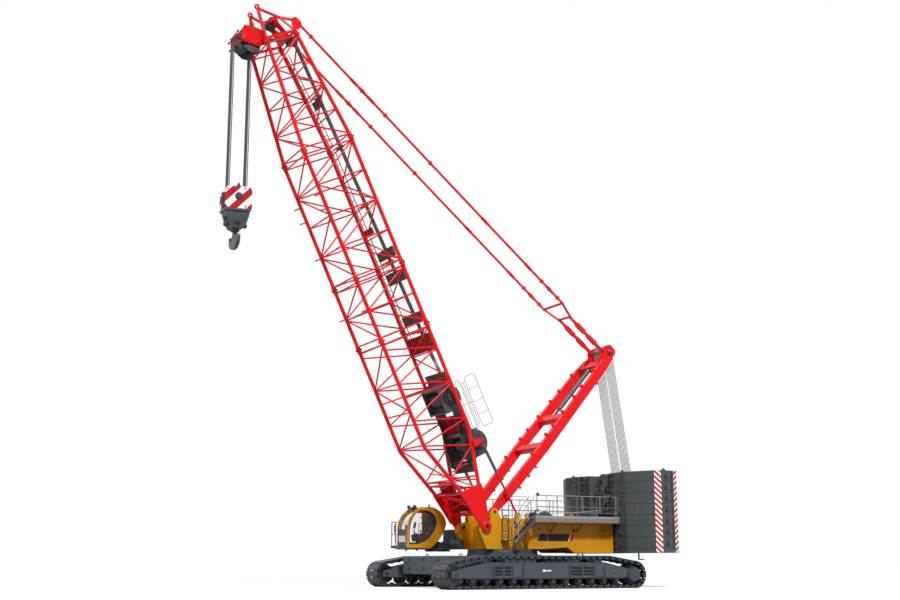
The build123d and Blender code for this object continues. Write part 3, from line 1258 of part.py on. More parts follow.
def cab_support():
    """Bracket from the front block that carries the cab on two tilt pins."""
    wall = -FRONT_HALF_WIDTH - GAP
    far = CAB_LUGS[1] - 140
    pieces = [block((1300, 1740), (far, wall), (1700, 2080)),
              block((1330, 1710), (far + 60, -1480), (2060, 2600))]
    tilt_x, tilt_z = CAB_TILT
    for y in CAB_LUGS:
        for low in (y - 80, y + 40):
            pieces.append(side_plate([(1700, 1700), (2620, 1600), (2620, 1670), (2300, 1740),
                                      (2210, 1960), (2200, 2010), (2100, 2010), (1700, 1900)],
                                     (low, low + 40)))
        pieces.append(block((1700, 2600), (y - 80, y + 80), (1600, 1640)))
        pieces.append(side_plate([(1700, 1600), (1900, 1600), (1900, 1700), (1700, 1760)],
                                 (y - 80, y + 80)))
    body = join(*pieces)
    pins = [across(tilt_x, tilt_z, (y - 95, y + 95), CAB_PIN) for y in CAB_LUGS]
    return join(body, *pins)


# ---------------------------------------------------------------- upper assembly
def make_upper():
    save("upper_frame", upper_frame())
    save("slew_ring_upper", ring((RING_SPLIT + GAP, RING_TOP + 10 - GAP), RING_OUTER, RING_INNER))
    save("machine_house_left", machine_house(False))
    save("machine_house_right", mirrored(machine_house(True)))
    floor = STACK_BOTTOM + WALL + GAP
    save("engine_block", block((-4750, -3150), (-1360, -GIRDER_OUTER - 60), (floor, floor + 1150)))
    for name, x in zip(("rear", "front"), DOOR_X):
        save(f"engine_door_{name}", engine_door(x))
    drum = winch_drum(WINCH_BARREL, WINCH_FLANGE, WINCH_HALF, WINCH_AXLE, WINCH_HALF + 100)
    save("luffing_winch", drum.moved(Location((WINCH_X, 0, WINCH_Z))))
    save("catwalks", catwalk(WALK_STRUTS_LEFT), mirrored(catwalk(WALK_STRUTS_RIGHT)))
    posts = [HOUSE_REAR + 200 + i * RAIL_PITCH for i in range(5)]
    save("guard_rails", both_sides(guard_rail(posts)))
    save("access_steps", access_stairs(), side_ladder())
    save("cab_support", cab_support())
    boom_pin = across(BOOM_PIN_X, BOOM_PIN_Z, (LUG_INNER - 40, FOOT_OUTER + 40), BOOM_PIN_RADIUS)
    mast_pin = across(MAST_PIN_X, MAST_PIN_Z, (LUG_INNER - 30, FRONT_HALF_WIDTH + 30),
                      MAST_PIN_RADIUS)
    save("foot_pins", both_sides(boom_pin), both_sides(mast_pin))
    save("counterweight_trays", both_sides(counterweight_tray()))
    base = STACK_BOTTOM + TRAY_THICK
    slabs = [slab(base + i * SLAB_HEIGHT + SLAB_GAP) for i in range(SLAB_COUNT)]
    save("counterweight_slabs", slabs, [mirrored(piece) for piece in slabs])
    save("rear_carrier", rear_carrier())
    sheaves = sheave_set(REAR_SHEAVE_RADIUS, REAR_SHEAVE_RADIUS - 35, 8, 100, 70, 600)
    save("luffing_sheaves", sheaves.moved(Location((REAR_SHEAVE[0], 0, REAR_SHEAVE[1]))))


os.makedirs(OUT, exist_ok=True)
make_undercarriage()
make_upper()
make_cab()
make_boom()
make_mast()
make_pendants()
make_backstops()
make_hook_block()
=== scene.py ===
"""Looks of the crawler crane: finishes, ropes, rails, ladders, stripes and small fittings.

Metres, in the frame's own axes: +X forward (boom side), +Y to the crane's left, +Z up.
"""
import json
import math
import bmesh
import bpy
from mathutils import Matrix, Vector


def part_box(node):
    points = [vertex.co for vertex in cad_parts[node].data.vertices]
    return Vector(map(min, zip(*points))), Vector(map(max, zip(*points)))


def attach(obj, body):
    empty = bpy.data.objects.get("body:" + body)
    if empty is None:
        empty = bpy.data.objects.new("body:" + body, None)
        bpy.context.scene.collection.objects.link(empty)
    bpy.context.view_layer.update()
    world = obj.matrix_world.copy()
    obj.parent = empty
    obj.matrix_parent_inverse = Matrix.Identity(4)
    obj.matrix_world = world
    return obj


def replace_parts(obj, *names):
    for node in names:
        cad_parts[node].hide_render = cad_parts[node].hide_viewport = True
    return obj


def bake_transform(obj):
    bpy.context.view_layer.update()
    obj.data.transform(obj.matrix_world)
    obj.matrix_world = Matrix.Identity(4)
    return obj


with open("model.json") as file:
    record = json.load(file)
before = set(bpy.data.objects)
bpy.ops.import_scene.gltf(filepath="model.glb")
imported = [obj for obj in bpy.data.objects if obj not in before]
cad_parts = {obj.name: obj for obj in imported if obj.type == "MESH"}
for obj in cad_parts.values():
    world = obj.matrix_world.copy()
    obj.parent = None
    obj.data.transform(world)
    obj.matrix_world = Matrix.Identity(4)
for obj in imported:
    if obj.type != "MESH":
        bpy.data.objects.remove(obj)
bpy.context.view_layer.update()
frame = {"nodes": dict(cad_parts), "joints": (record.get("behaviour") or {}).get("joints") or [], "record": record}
NODES = frame["nodes"]
JOINTS = {joint["name"]: joint for joint in frame["joints"]}


# ---------------------------------------------------------------- materials
class Shader:
    """A node material with a few short ways to add procedural detail."""

    def __init__(self, name, rough=0.4, metal=0.0, **sockets):
        self.mat = bpy.data.materials.new(name)
        self.mat.use_nodes = True
        self.tree = self.mat.node_tree
        self.bsdf = self.tree.nodes["Principled BSDF"]
        self.bsdf.inputs["Roughness"].default_value = rough
        self.bsdf.inputs["Metallic"].default_value = metal
        for socket, value in sockets.items():
            self.bsdf.inputs[socket.replace("_", " ")].default_value = value
        self.coords = self.tree.nodes.new("ShaderNodeTexCoord")

    def add(self, kind, **values):
        node = self.tree.nodes.new("ShaderNode" + kind)
        for key, value in values.items():
            setattr(node, key, value)
        return node

    def link(self, source, target):
        self.tree.links.new(source, target)

    def put(self, value, socket):
        """Link an output to the socket, or set the socket to a plain number or colour."""
        if isinstance(value, bpy.types.NodeSocket):
            self.link(value, socket)
        else:
            socket.default_value = (*value, 1) if isinstance(value, tuple) else value

    def noise(self, scale, detail=5.0, stretch=(1, 1, 1), rough=0.55):
        mapping = self.add("Mapping")
        mapping.inputs["Scale"].default_value = stretch
        self.link(self.coords.outputs["Object"], mapping.inputs["Vector"])
        node = self.add("TexNoise")
        node.inputs["Scale"].default_value = scale
        node.inputs["Detail"].default_value = detail
        node.inputs["Roughness"].default_value = rough
        self.link(mapping.outputs["Vector"], node.inputs["Vector"])
        return node.outputs["Fac"]

    def ramp(self, factor, stops):
        node = self.add("ValToRGB")
        elements = node.color_ramp.elements
        while len(elements) < len(stops):
            elements.new(0.5)
        for element, (place, colour) in zip(elements, stops):
            element.position = place
            element.color = (*colour, 1)
        self.link(factor, node.inputs["Fac"])
        return node.outputs["Color"]

    def mix(self, factor, a, b):
        node = self.add("Mix", data_type="RGBA")
        self.put(factor, node.inputs[0])
        self.put(a, node.inputs[6])
        self.put(b, node.inputs[7])
        return node.outputs[2]

    def math(self, operation, a, b=0.0):
        node = self.add("Math", operation=operation)
        self.put(a, node.inputs[0])
        self.put(b, node.inputs[1])
        return node.outputs[0]

    def span(self, factor, low, high, out=(0.0, 1.0)):
        node = self.add("MapRange")
        for socket, value in zip(("From Min", "From Max", "To Min", "To Max"), (low, high, *out)):
            node.inputs[socket].default_value = value
        self.link(factor, node.inputs["Value"])
        return node.outputs["Result"]

    def colour(self, source):
        self.link(source, self.bsdf.inputs["Base Color"])

    def bump(self, height, strength, distance):
        node = self.add("Bump")
        node.inputs["Strength"].default_value = strength
        node.inputs["Distance"].default_value = distance
        self.link(height, node.inputs["Height"])
        self.link(node.outputs["Normal"], self.bsdf.inputs["Normal"])

    def roughness(self, factor, low, high):
        self.link(self.span(factor, 0.3, 0.7, (low, high)), self.bsdf.inputs["Roughness"])


def shade(colour, factor):
    return tuple(channel * factor for channel in colour)


def paint(name, colour, rough=(0.28, 0.42), dust=(0.30, 0.27, 0.23), dirt=0.10, coat=0.05):
    """Sprayed enamel: faint tone clouds, dusty rain streaks and worn edges."""
    s = Shader(name, Coat_Weight=coat, Coat_Roughness=0.15, Specular_IOR_Level=0.18)
    clouds = s.noise(0.55, 4)
    streaks = s.noise(5.0, 6, stretch=(1, 1, 0.12))
    fine = s.noise(34.0, 3)
    base = s.ramp(clouds, [(0.3, shade(colour, 0.90)), (0.7, shade(colour, 1.06))])
    film = s.math("MULTIPLY", s.span(streaks, 0.52, 0.75), dirt * 2)
    base = s.mix(film, base, dust)
    point = s.add("NewGeometry").outputs["Pointiness"]
    worn = s.math("MULTIPLY", s.span(point, 0.53, 0.60), 0.25)
    base = s.mix(worn, base, shade(colour, 1.5))
    s.colour(base)
    s.roughness(streaks, *rough)
    s.bump(fine, 0.05, 0.004)
    return s.mat


def steel(name, colour, rough=(0.35, 0.6), metal=0.6, scratch=0.12):
    """Bare or thinly painted steel with rolled grain, patchy tone and rubbed edges."""
    s = Shader(name, metal=metal)
    grain = s.noise(14.0, 7)
    patch = s.noise(1.7, 5)
    base = s.ramp(patch, [(0.3, shade(colour, 0.72)), (0.55, colour), (0.75, shade(colour, 1.35))])
    point = s.add("NewGeometry").outputs["Pointiness"]
    worn = s.math("MULTIPLY", s.span(point, 0.52, 0.58), 0.6)
    base = s.mix(worn, base, shade(colour, 2.6))
    s.colour(base)
    s.roughness(grain, *rough)
    s.bump(grain, scratch, 0.004)
    return s.mat


def rubber(name, colour, rough=(0.6, 0.85)):
    s = Shader(name)
    grain = s.noise(40.0, 4)
    s.colour(s.ramp(grain, [(0.35, shade(colour, 0.8)), (0.7, shade(colour, 1.3))]))
    s.roughness(grain, *rough)
    s.bump(grain, 0.15, 0.002)
    return s.mat


def glass(name, tint, alpha=0.35):
    s = Shader(name, rough=0.04, IOR=1.45, Specular_IOR_Level=0.25, Alpha=alpha)
    s.colour(s.ramp(s.noise(1.5, 3), [(0.3, shade(tint, 0.9)), (0.7, tint)]))
    return s.mat


def wire_rope(name, colour, pitch=9.0, metal=0.5):
    """Laid strands: bands that wind round the rope's run."""
    s = Shader(name, rough=0.5, metal=metal)
    wave = s.add("TexWave", wave_type="BANDS", bands_direction="DIAGONAL")
    wave.inputs["Scale"].default_value = pitch
    wave.inputs["Distortion"].default_value = 0.6
    s.link(s.coords.outputs["Object"], wave.inputs["Vector"])
    band = wave.outputs["Fac"]
    s.colour(s.ramp(band, [(0.2, shade(colour, 0.55)), (0.8, shade(colour, 1.3))]))
    s.bump(band, 0.4, 0.006)
    return s.mat


def stripes(name, slope, pitch, phase=0.0, first=(0.52, 0.006, 0.010), second=(0.86, 0.86, 0.85)):
    """Diagonal safety stripes; slope weighs X, Y and Z, pitch is one pair of bands in metres."""
    s = Shader(name, rough=0.45, Specular_IOR_Level=0.2)
    dot = s.add("VectorMath", operation="DOT_PRODUCT")
    s.link(s.coords.outputs["Object"], dot.inputs[0])
    dot.inputs[1].default_value = slope
    saw = s.math("FRACT", s.math("ADD", s.math("DIVIDE", dot.outputs["Value"], pitch), phase))
    band = s.math("GREATER_THAN", saw, 0.5)
    grime = s.noise(6.0, 6)
    base = s.mix(band, first, second)
    base = s.mix(s.span(grime, 0.5, 0.9, (0.0, 0.18)), base, (0.25, 0.22, 0.20))
    s.colour(base)
    s.roughness(grime, 0.35, 0.55)
    return s.mat


BLOCK_PHASE = 0.568     # puts a red band just under the block's shaft


def make_materials():
    return {
        "boom_red": paint("boom_enamel", (0.74, 0.006, 0.010), dirt=0.03),
        "body_amber": paint("amber_enamel", (0.62, 0.265, 0.004), rough=(0.30, 0.45), dirt=0.06),
        "ballast_grey": paint("ballast_enamel", (0.066, 0.078, 0.085), rough=(0.45, 0.65), dirt=0.04,
                              coat=0.0),
        "track_steel": steel("track_steel", (0.035, 0.042, 0.050)),
        "frame_dark": paint("chassis_enamel", (0.066, 0.078, 0.092), rough=(0.40, 0.6), dirt=0.05, coat=0.0),
        "winch_dark": steel("winch_steel", (0.040, 0.046, 0.052), rough=(0.35, 0.55), metal=0.4),
        "block_stripe": stripes("block_stripes", (1.05, 0.0, 1.0), 0.80, phase=BLOCK_PHASE),
        "galvanised": steel("galvanised", (0.17, 0.18, 0.19), rough=(0.35, 0.5), metal=0.3, scratch=0.05),
        "machined_steel": steel("machined_steel", (0.07, 0.075, 0.08), rough=(0.25, 0.4), metal=0.9),
        "cab_glazing": glass("cab_glazing", (0.22, 0.29, 0.32), alpha=0.07),
        "seat_fabric": rubber("seat_cloth", (0.035, 0.035, 0.04)),
        "deck_edge": paint("walkway_enamel", (0.20, 0.19, 0.16), rough=(0.45, 0.6), coat=0.0),
        # Darker copy of the ballast grey: painted shade on the lugs, keys, eyes, groove strips, tower ladder and
        # car-body weight lugs
        "ballast_shaded": paint("ballast_shadow", (0.030, 0.035, 0.040), rough=(0.45, 0.65), dirt=0.12,
                              coat=0.0),
        "deck_grey": paint("deck_grey", (0.13, 0.115, 0.10), rough=(0.5, 0.7), dirt=0.2, coat=0.0),
        "shadow_red": paint("shaded_red", (0.30, 0.008, 0.010), rough=(0.4, 0.55)),
        "plate_black": paint("plate_black", (0.010, 0.010, 0.011), rough=(0.3, 0.4), dirt=0.05),
        "plate_white": paint("plate_white", (0.80, 0.80, 0.79), rough=(0.35, 0.45), dirt=0.05),
        "cab_trim": rubber("cab_trim", (0.022, 0.022, 0.024)),
        "beacon": glass("beacon_lens", (0.95, 0.28, 0.02), alpha=0.75),
        "ballast_stripe_front": stripes("ballast_stripes_a", (-1.1, 0.0, 1.0), 0.244),
        "ballast_stripe_rear": stripes("ballast_stripes_b", (0.6, 0.0, 1.0), 0.244),
        "hoist_rope": wire_rope("hoist_rope", (0.050, 0.060, 0.064), metal=0.1),
        "luffing_rope": wire_rope("luffing_rope", (0.50, 0.50, 0.49), pitch=5.0),
        "drum_rope": wire_rope("drum_rope", (0.10, 0.105, 0.11)),
        "lead_rope": wire_rope("lead_rope", (0.20, 0.195, 0.18)),
    }


MATS = make_materials()


NODE_FINISH = {"foot_pins": "plate_black", "catwalks": "deck_edge"}


def finish_nodes():
    slots = {part["node"]: part["material_slot"] for part in frame["record"]["subparts"]}
    for name, obj in NODES.items():
        obj.data.materials.clear()
        obj.data.materials.append(MATS[NODE_FINISH.get(name, slots[name])])


finish_nodes()


# ---------------------------------------------------------------- mesh building
SHARP_ANGLE = math.radians(38)      # edges above it stay sharp on smooth pieces
BEVEL_ANGLE = math.radians(40)      # edges above it get the bevel on flat pieces


def plain(x, y, z):
    return Vector((x, y, z))


def up(z):
    return Vector((0, 0, z))


def rect(x0, x1, z0, z1):
    return [(x0, z0), (x1, z0), (x1, z1), (x0, z1)]


def spokes(count):
    """Unit vectors round the Y axis."""
    turns = [2 * math.pi * i / count for i in range(count)]
    return [Vector((math.cos(t), 0, math.sin(t))) for t in turns]


def circle(centre, first, second, radius, sides):
    turns = [2 * math.pi * k / sides for k in range(sides)]
    return [centre + (first * math.cos(t) + second * math.sin(t)) * radius for t in turns]


def long_plate(s0, s1, end, taper, half):
    """Outline of a link plate from s0 to s1, half wide, narrowing to end over its tapers."""
    far = [(s0, -end), (s0 + taper, -half), (s1 - taper, -half), (s1, -end)]
    return far + [(s, -z) for s, z in reversed(far)]


class Piece:
    """Collects tubes, boxes, plates and turned shapes in one mesh that rides on one body."""

    def __init__(self, name, body, slot, mat=None):
        self.name, self.body, self.slot = name, body, slot
        self.mat = MATS[mat or slot]
        self.verts, self.faces = [], []

    def _ring(self, points):
        start = len(self.verts)
        self.verts += [tuple(p) for p in points]
        return list(range(start, start + len(points)))

    def _wall(self, a, b):
        for k in range(len(a)):
            n = (k + 1) % len(a)
            self.faces.append((a[k], a[n], b[n], b[k]))

    def _skin(self, rings, closed=False):
        """Join rings of points in order, and cap both ends or join the last to the first."""
        rings = [self._ring(ring) for ring in rings]
        for a, b in zip(rings, rings[1:] + rings[:1] if closed else rings[1:]):
            self._wall(a, b)
        if not closed:
            self.faces += [tuple(reversed(rings[0])), tuple(rings[-1])]
        return self

    def tube(self, path, radius, sides=8, closed=False):
        """Round tube along a list of points; radius is one number or one per point."""
        path = [Vector(p) for p in path]
        count = len(path)
        radii = radius if isinstance(radius, (list, tuple)) else [radius] * count
        rings, normal = [], None
        for i, point in enumerate(path):
            before = path[i - 1] if (i or closed) else path[0]
            after = path[(i + 1) % count] if (i < count - 1 or closed) else path[-1]
            along = (after - before).normalized()
            if normal is None:
                normal = along.orthogonal().normalized()
            normal = (normal - along * normal.dot(along)).normalized()
            rings.append(circle(point, normal, along.cross(normal), radii[i], sides))
        return self._skin(rings, closed)

    def rod(self, start, end, radius, sides=10):
        return self.tube([start, end], radius, sides)

    def bar(self, at, s, z, half, radius, sides=10):
        """Rod straight across, half to each side, at one place of an arm."""
        return self.rod(at(s, -half, z), at(s, half, z), radius, sides)

    def ring(self, centre, second, radius, thick, steps, sides=8):
        """Closed ring in the plane of X and the axis second."""
        path = arc(centre, (1, 0, 0), second, radius, 0, 360, steps)[:-1]
        return self.tube(path, thick, sides, closed=True)

    def sheet(self, outline, depth):
        """Flat plate: an outline of points pushed along the vector depth."""
        depth = Vector(depth)
        low = [Vector(p) for p in outline]
        a = self._ring(low)
        b = self._ring([p + depth for p in low])
        self.faces += [tuple(reversed(a)), tuple(b)]
        self._wall(a, b)
        return self

    def plate(self, outline, y, thick, at=plain):
        """Sheet square to Y: points of two numbers, placed by at, pushed thick along Y."""
        return self.sheet([at(a, y, b) for a, b in outline], (0, thick, 0))

    def box(self, low, high, place=Matrix.Identity(4)):
        """Block between two corners, in the space of place."""
        (x0, y0, z0), (x1, y1, z1) = low, high
        plan = [(x0, y0, z0), (x1, y0, z0), (x1, y1, z0), (x0, y1, z0)]
        top = place @ Vector((0, 0, z1 - z0)) - place @ Vector((0, 0, 0))
        return self.sheet([place @ Vector(p) for p in plan], top)

    def turned(self, start, end, profile, sides=20):
        """Turned shape on the axis from start to end; profile lists (share of length, radius)."""
        start, end = Vector(start), Vector(end)
        along = (end - start).normalized()
        normal = along.orthogonal().normalized()
        side = along.cross(normal)
        return self._skin([circle(start.lerp(end, share), normal, side, radius, sides)
                           for share, radius in profile])

    def spool(self, start, end, half, sides=20):
        """Turned shape that is the same from both ends; half is the profile's first half."""
        back = [(1 - share, radius) for share, radius in reversed(half)]
        return self.turned(start, end, half + back, sides)

    def cap(self, centre, reach, radius, share, tip, sides=20):
        """Turned cap: straight for a share of the vector reach, then narrowing to the radius tip."""
        start = Vector(centre)
        return self.turned(start, start + Vector(reach), [(0, radius), (share, radius), (1, tip)], sides)

    def hexagon(self, centre, axis, radius, height):
        """Bolt head on a surface."""
        return self.cap(centre, Vector(axis).normalized() * height, radius, 0.8, radius * 0.85, 6)

    def done(self, bevel=None):
        """Make the object: smooth, or flat with a bevel of this width, 0 for none."""
        mesh = bpy.data.meshes.new(self.name)
        mesh.from_pydata(self.verts, [], self.faces)
        mesh.validate()
        made = bmesh.new()
        made.from_mesh(mesh)
        bmesh.ops.recalc_face_normals(made, faces=made.faces)
        made.to_mesh(mesh)
        made.free()
        mesh.materials.append(self.mat)
        obj = bpy.data.objects.new(self.name, mesh)
        bpy.context.scene.collection.objects.link(obj)
        if bevel is None:
            mesh.shade_smooth()
            mesh.set_sharp_from_angle(angle=SHARP_ANGLE)
        if bevel:
            cut = obj.modifiers.new("edge", "BEVEL")
            cut.width = bevel
            cut.segments = 2
            cut.limit_method = "ANGLE"
            cut.angle_limit = BEVEL_ANGLE
        if self.body:
            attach(obj, self.body)
        return obj


def arc(centre, first, second, radius, start, end, steps):
    """Points of an arc in the plane of two unit vectors, angles in degrees."""
    centre, first, second = Vector(centre), Vector(first), Vector(second)
    out = []
    for i in range(steps + 1):
        turn = math.radians(start + (end - start) * i / steps)
        out.append(centre + (first * math.cos(turn) + second * math.sin(turn)) * radius)
    return out


def round_frame(corners, radius, steps=4):
    """Closed path round a four-cornered frame with rounded corners."""
    corners = [Vector(c) for c in corners]
    out = []
    for i, corner in enumerate(corners):
        to_last = (corners[i - 1] - corner).normalized()
        to_next = (corners[(i + 1) % len(corners)] - corner).normalized()
        start, end = corner + to_last * radius, corner + to_next * radius
        for k in range(steps + 1):
            t = k / steps
            out.append(start.lerp(corner, t).lerp(corner.lerp(end, t), t))
    return out


class Arm:
    """Places on a leaning arm: s along it from its pivot, y across, z square to it."""

    def __init__(self, pivot, degrees):
        lean = math.radians(degrees)
        self.pivot = Vector(pivot)
        self.along = Vector((math.cos(lean), 0, math.sin(lean)))
        self.up = Vector((-math.sin(lean), 0, math.cos(lean)))

    def __call__(self, s, y, z):
        return self.pivot + self.along * s + self.up * z + Vector((0, y, 0))

    def matrix(self):
        turn = Matrix((self.along, (0, 1, 0), self.up)).transposed()
        return Matrix.Translation(self.pivot) @ turn.to_4x4()


BOOM_ANGLE = 65.1
MAST_ANGLE = 131.0
boom_at = Arm(JOINTS["boom_luff"]["pos_m"], BOOM_ANGLE)
mast_at = Arm(JOINTS["mast_luff"]["pos_m"], MAST_ANGLE)
pendant_start = Vector(JOINTS["pendant_pivot"]["pos_m"])
pendant_run = boom_at(24.08, 0, 1.02) - pendant_start
pendant_at = Arm(pendant_start, math.degrees(math.atan2(pendant_run.z, pendant_run.x)))


# ---------------------------------------------------------------- ropes
SHEAVE_ROPE = 0.395             # rope centre line round the hoist sheaves
HOIST_ROPES = [-0.30, -0.245, -0.19, -0.135, -0.08, -0.025, 0.03, 0.24]
ROPE_RADIUS = 0.021
LUFF_ROPES = [-0.35 + 0.1 * i for i in range(8)]
LUFF_RADIUS = 0.018
LUFF_DRUM = 0.36                # where the rope leaves the luffing drum
COIL_RADIUS = 0.345             # wound rope's centre line
COIL_PITCH = 0.045              # between turns on a drum


def middle(node):
    low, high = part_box(node)
    return (low + high) / 2


def hoist_falls():
    """Straight falls between the head sheaves and the hook block, and the wraps round both sets."""
    top, low = Vector(JOINTS["head_sheave_pivot"]["pos_m"]), middle("hook_sheaves")
    falls = Piece("hoist_falls", None, "winch_dark", "hoist_rope")
    for y in HOIST_ROPES:
        for x in (-SHEAVE_ROPE, SHEAVE_ROPE):
            falls.rod(top + Vector((x, y, 0)), low + Vector((x, y, 0)), ROPE_RADIUS, 8)
    obj = falls.done()
    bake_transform(obj)
    for name, body, centre, turn in (("head_rope_wraps", "head_sheaves", top, (0, 180)),
                                     ("block_rope_wraps", "hook_block", low, (180, 360))):
        wraps = Piece(name, body, "winch_dark", "hoist_rope")
        for y in HOIST_ROPES:
            wraps.tube(arc(centre + Vector((0, y, 0)), (1, 0, 0), (0, 0, 1), SHEAVE_ROPE, *turn, 18),
                       ROPE_RADIUS, 8)
        wraps.done()


def tangent(centre_a, radius_a, centre_b, radius_b, side):
    """The two points of an outer tangent of two circles in the X-Z plane."""
    a, b = Vector((centre_a[0], centre_a[2])), Vector((centre_b[0], centre_b[2]))
    gap = b - a
    lean = math.acos((radius_a - radius_b) / gap.length) * side
    base = math.atan2(gap.y, gap.x) + lean
    way = Vector((math.cos(base), math.sin(base)))
    one, two = a + way * radius_a, b + way * radius_b
    return (one.x, one.y), (two.x, two.y)


def luffing_ropes():
    """Two layers of parallel ropes between the carrier's sheaves and the mast tip."""
    low_box, tip_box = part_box("luffing_sheaves"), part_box("mast_sheaves")
    low, tip = middle("luffing_sheaves"), middle("mast_sheaves")
    low_radius = (low_box[1].x - low_box[0].x) / 2 - 0.015
    tip_radius = (tip_box[1].z - tip_box[0].z) / 2 - 0.015
    ropes = Piece("luffing_falls", None, "galvanised", "luffing_rope")
    for side in (1, -1):
        (x0, z0), (x1, z1) = tangent(low, low_radius, tip, tip_radius, side)
        for y in LUFF_ROPES:
            ropes.rod((x0, y, z0), (x1, y, z1), LUFF_RADIUS, 8)
    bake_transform(ropes.done())
    (x0, z0), (x1, z1) = tangent(middle("luffing_winch"), LUFF_DRUM, low, low_radius, -1)
    lead = Piece("luffing_lead", "superstructure", "galvanised", "luffing_rope")
    lead.rod((x0, 0.05, z0), (x1, 0.05, z1), 0.016, 8)
    lead.done()


def rope_coils():
    """Wound rope on each drum: a ring for every turn."""
    for node, body, half in (("luffing_winch", "luffing_drum", 0.46),
                             ("hoist_drum_upper", "hoist_drum_upper", 0.62),
                             ("hoist_drum_lower", "hoist_drum_lower", 0.62)):
        coil = Piece(node + "_rope", body, "winch_dark", "drum_rope")
        for i in range(int(2 * half / COIL_PITCH)):
            shift = Vector((0, COIL_PITCH * (i + 0.5) - half, 0))
            coil.ring(middle(node) + shift, (0, 0, 1), COIL_RADIUS, ROPE_RADIUS, 28, 6)
        coil.done()


def lead_ropes():
    """Hoist ropes from both drums along the back of the boom and over to the head sheaves."""
    lead = Piece("hoist_lead_ropes", "boom", "winch_dark", "lead_rope")
    for i in range(6):
        y = -0.15 + 0.06 * i
        s, z = (5.85, 1.43) if i % 2 else (3.5, 1.80)
        lead.tube([boom_at(s, y, z), boom_at(7.9, y, 1.38), boom_at(23.55, y, 0.90),
                   boom_at(24.30, y, -1.13)], 0.020, 6)
    lead.done()
    rollers = Piece("rope_rollers", "boom", "winch_dark")
    arms = Piece("rope_roller_arms", "boom", "boom_red")
    for s, z in ((9.1, 1.30), (12.6, 1.19), (15.4, 1.10), (18.3, 1.02), (20.8, 0.94), (23.5, 0.86)):
        rollers.spool(boom_at(s, -0.28, z), boom_at(s, 0.28, z), [(0, 0.07), (0.06, 0.07), (0.06, 0.05)], 14)
        for y in (-0.31, 0.31):
            arms.rod(boom_at(s, y, z + 0.06), boom_at(s + 0.02, y, z - 0.22), 0.022, 6)
        arms.bar(boom_at, s + 0.02, z - 0.22, 0.42, 0.03)
    rollers.done()
    arms.done()


# ---------------------------------------------------------------- boom fittings
JOINTS_ALONG = [9.37, 12.32, 18.42, 23.69]
RUNG_PITCH = 0.30
CHORD_LINES = [                 # along the boom, half width, back, belly
    (1.85, 1.30, 0.455, -0.515), (4.35, 1.30, 1.08, -1.34), (18.42, 1.30, 1.08, -1.34),
    (23.69, 1.05, 0.62, -0.86)]


def chord_point(s, side, back):
    for low, high in zip(CHORD_LINES, CHORD_LINES[1:]):
        if s <= high[0]:
            break
    share = (s - low[0]) / (high[0] - low[0])
    half, top, belly = (a + (b - a) * share for a, b in zip(low[1:], high[1:]))
    return boom_at(s, side * half, top if back else belly)


def section_joints():
    """Fork sleeves, lock pins and their heads where the boom sections meet."""
    sleeves = Piece("boom_joint_sleeves", "boom", "boom_red")
    pins = Piece("boom_joint_pins", "boom", "winch_dark")
    for s in JOINTS_ALONG:
        last = s == JOINTS_ALONG[-1]        # the chords end there
        for side in (1, -1):
            for back in (True, False):
                high = chord_point(s if last else s + 0.20, side, back)
                sleeves.spool(chord_point(s - 0.20, side, back), high,
                              [(0, 0.088), (0.08, 0.108), (0.42, 0.112), (0.46, 0.100)])
                centre = chord_point(s - 0.05 if last else s, side, back)
                pins.spool(centre - boom_at.up * 0.15, centre + boom_at.up * 0.15,
                           [(0, 0.045), (0.1, 0.05), (0.12, 0.032)], 12)
    sleeves.done()
    pins.done()


def decks(bars_name, frames_name, slot, mat, pitch, rows):
    """Open decks on the boom; a row has the two ends along it, the two sides and the height."""
    bars, frames = Piece(bars_name, "boom", slot, mat), Piece(frames_name, "boom", slot, mat)
    place = boom_at.matrix()
    for s0, s1, y0, y1, z in rows:
        for a, b in (((s0, y0), (s0 + 0.04, y1)), ((s1 - 0.04, y0), (s1, y1)),
                     ((s0, y0), (s1, y0 + 0.04)), ((s0, y1 - 0.04), (s1, y1))):
            frames.box((*a, z - 0.05), (*b, z + 0.02), place)
        count = int((y1 - y0) / pitch)
        for i in range(1, count):
            at = y0 + (y1 - y0) * i / count
            bars.box((s0 + 0.03, at - 0.006, z - 0.025), (s1 - 0.03, at + 0.006, z + 0.012), place)
        for share in (1, 2):
            at = s0 + share * (s1 - s0) / 3
            bars.box((at - 0.006, y0 + 0.03, z - 0.02), (at + 0.006, y1 - 0.03, z), place)
    bars.done(0)
    frames.done(0.004)


def boom_walkways():
    """Dark platforms and red perforated decks across the back face, and the ladder."""
    decks("boom_deck_bars", "boom_deck_frames", "winch_dark", "deck_grey", 0.055,
          ((12.75, 13.20, -0.80, 0.95, 1.14), (11.55, 12.10, -0.80, 1.05, 1.14),
           (9.50, 10.00, -0.90, 1.12, 1.14), (6.50, 7.05, -0.95, 1.12, 1.14),
           (20.35, 20.75, -0.62, 0.30, 0.93), (2.35, 2.90, -0.95, 0.95, 0.75)))
    decks("boom_red_deck_bars", "boom_red_deck_frames", "boom_red", "shadow_red", 0.075,
          ((8.15, 8.95, -1.16, 1.16, 1.10), (4.12, 5.02, -1.16, 1.16, 0.98), (14.1, 14.4, -1.1, -0.2, 1.10)))
    ladder = Piece("boom_ladder", "boom", "boom_red", "shadow_red")
    rungs = Piece("boom_ladder_rungs", "boom", "winch_dark")

    def at(s, y):
        """Point between the back chords; y narrows as they do."""
        p = chord_point(s, 1, True)
        return Vector((p.x, y * p.y / CHORD_LINES[0][1], p.z))

    left, right = -1.05, -0.72
    for low, high in ((8.95, 18.30), (18.55, 23.2)):
        for y in (left, right):
            ladder.rod(at(low, y), at(high, y), 0.022, 8)
        count = int((high - low) / RUNG_PITCH)
        for i in range(1, count):
            s = low + (high - low) * i / count
            rungs.rod(at(s, left), at(s, right), 0.014, 6)
    ladder.done()
    rungs.done()


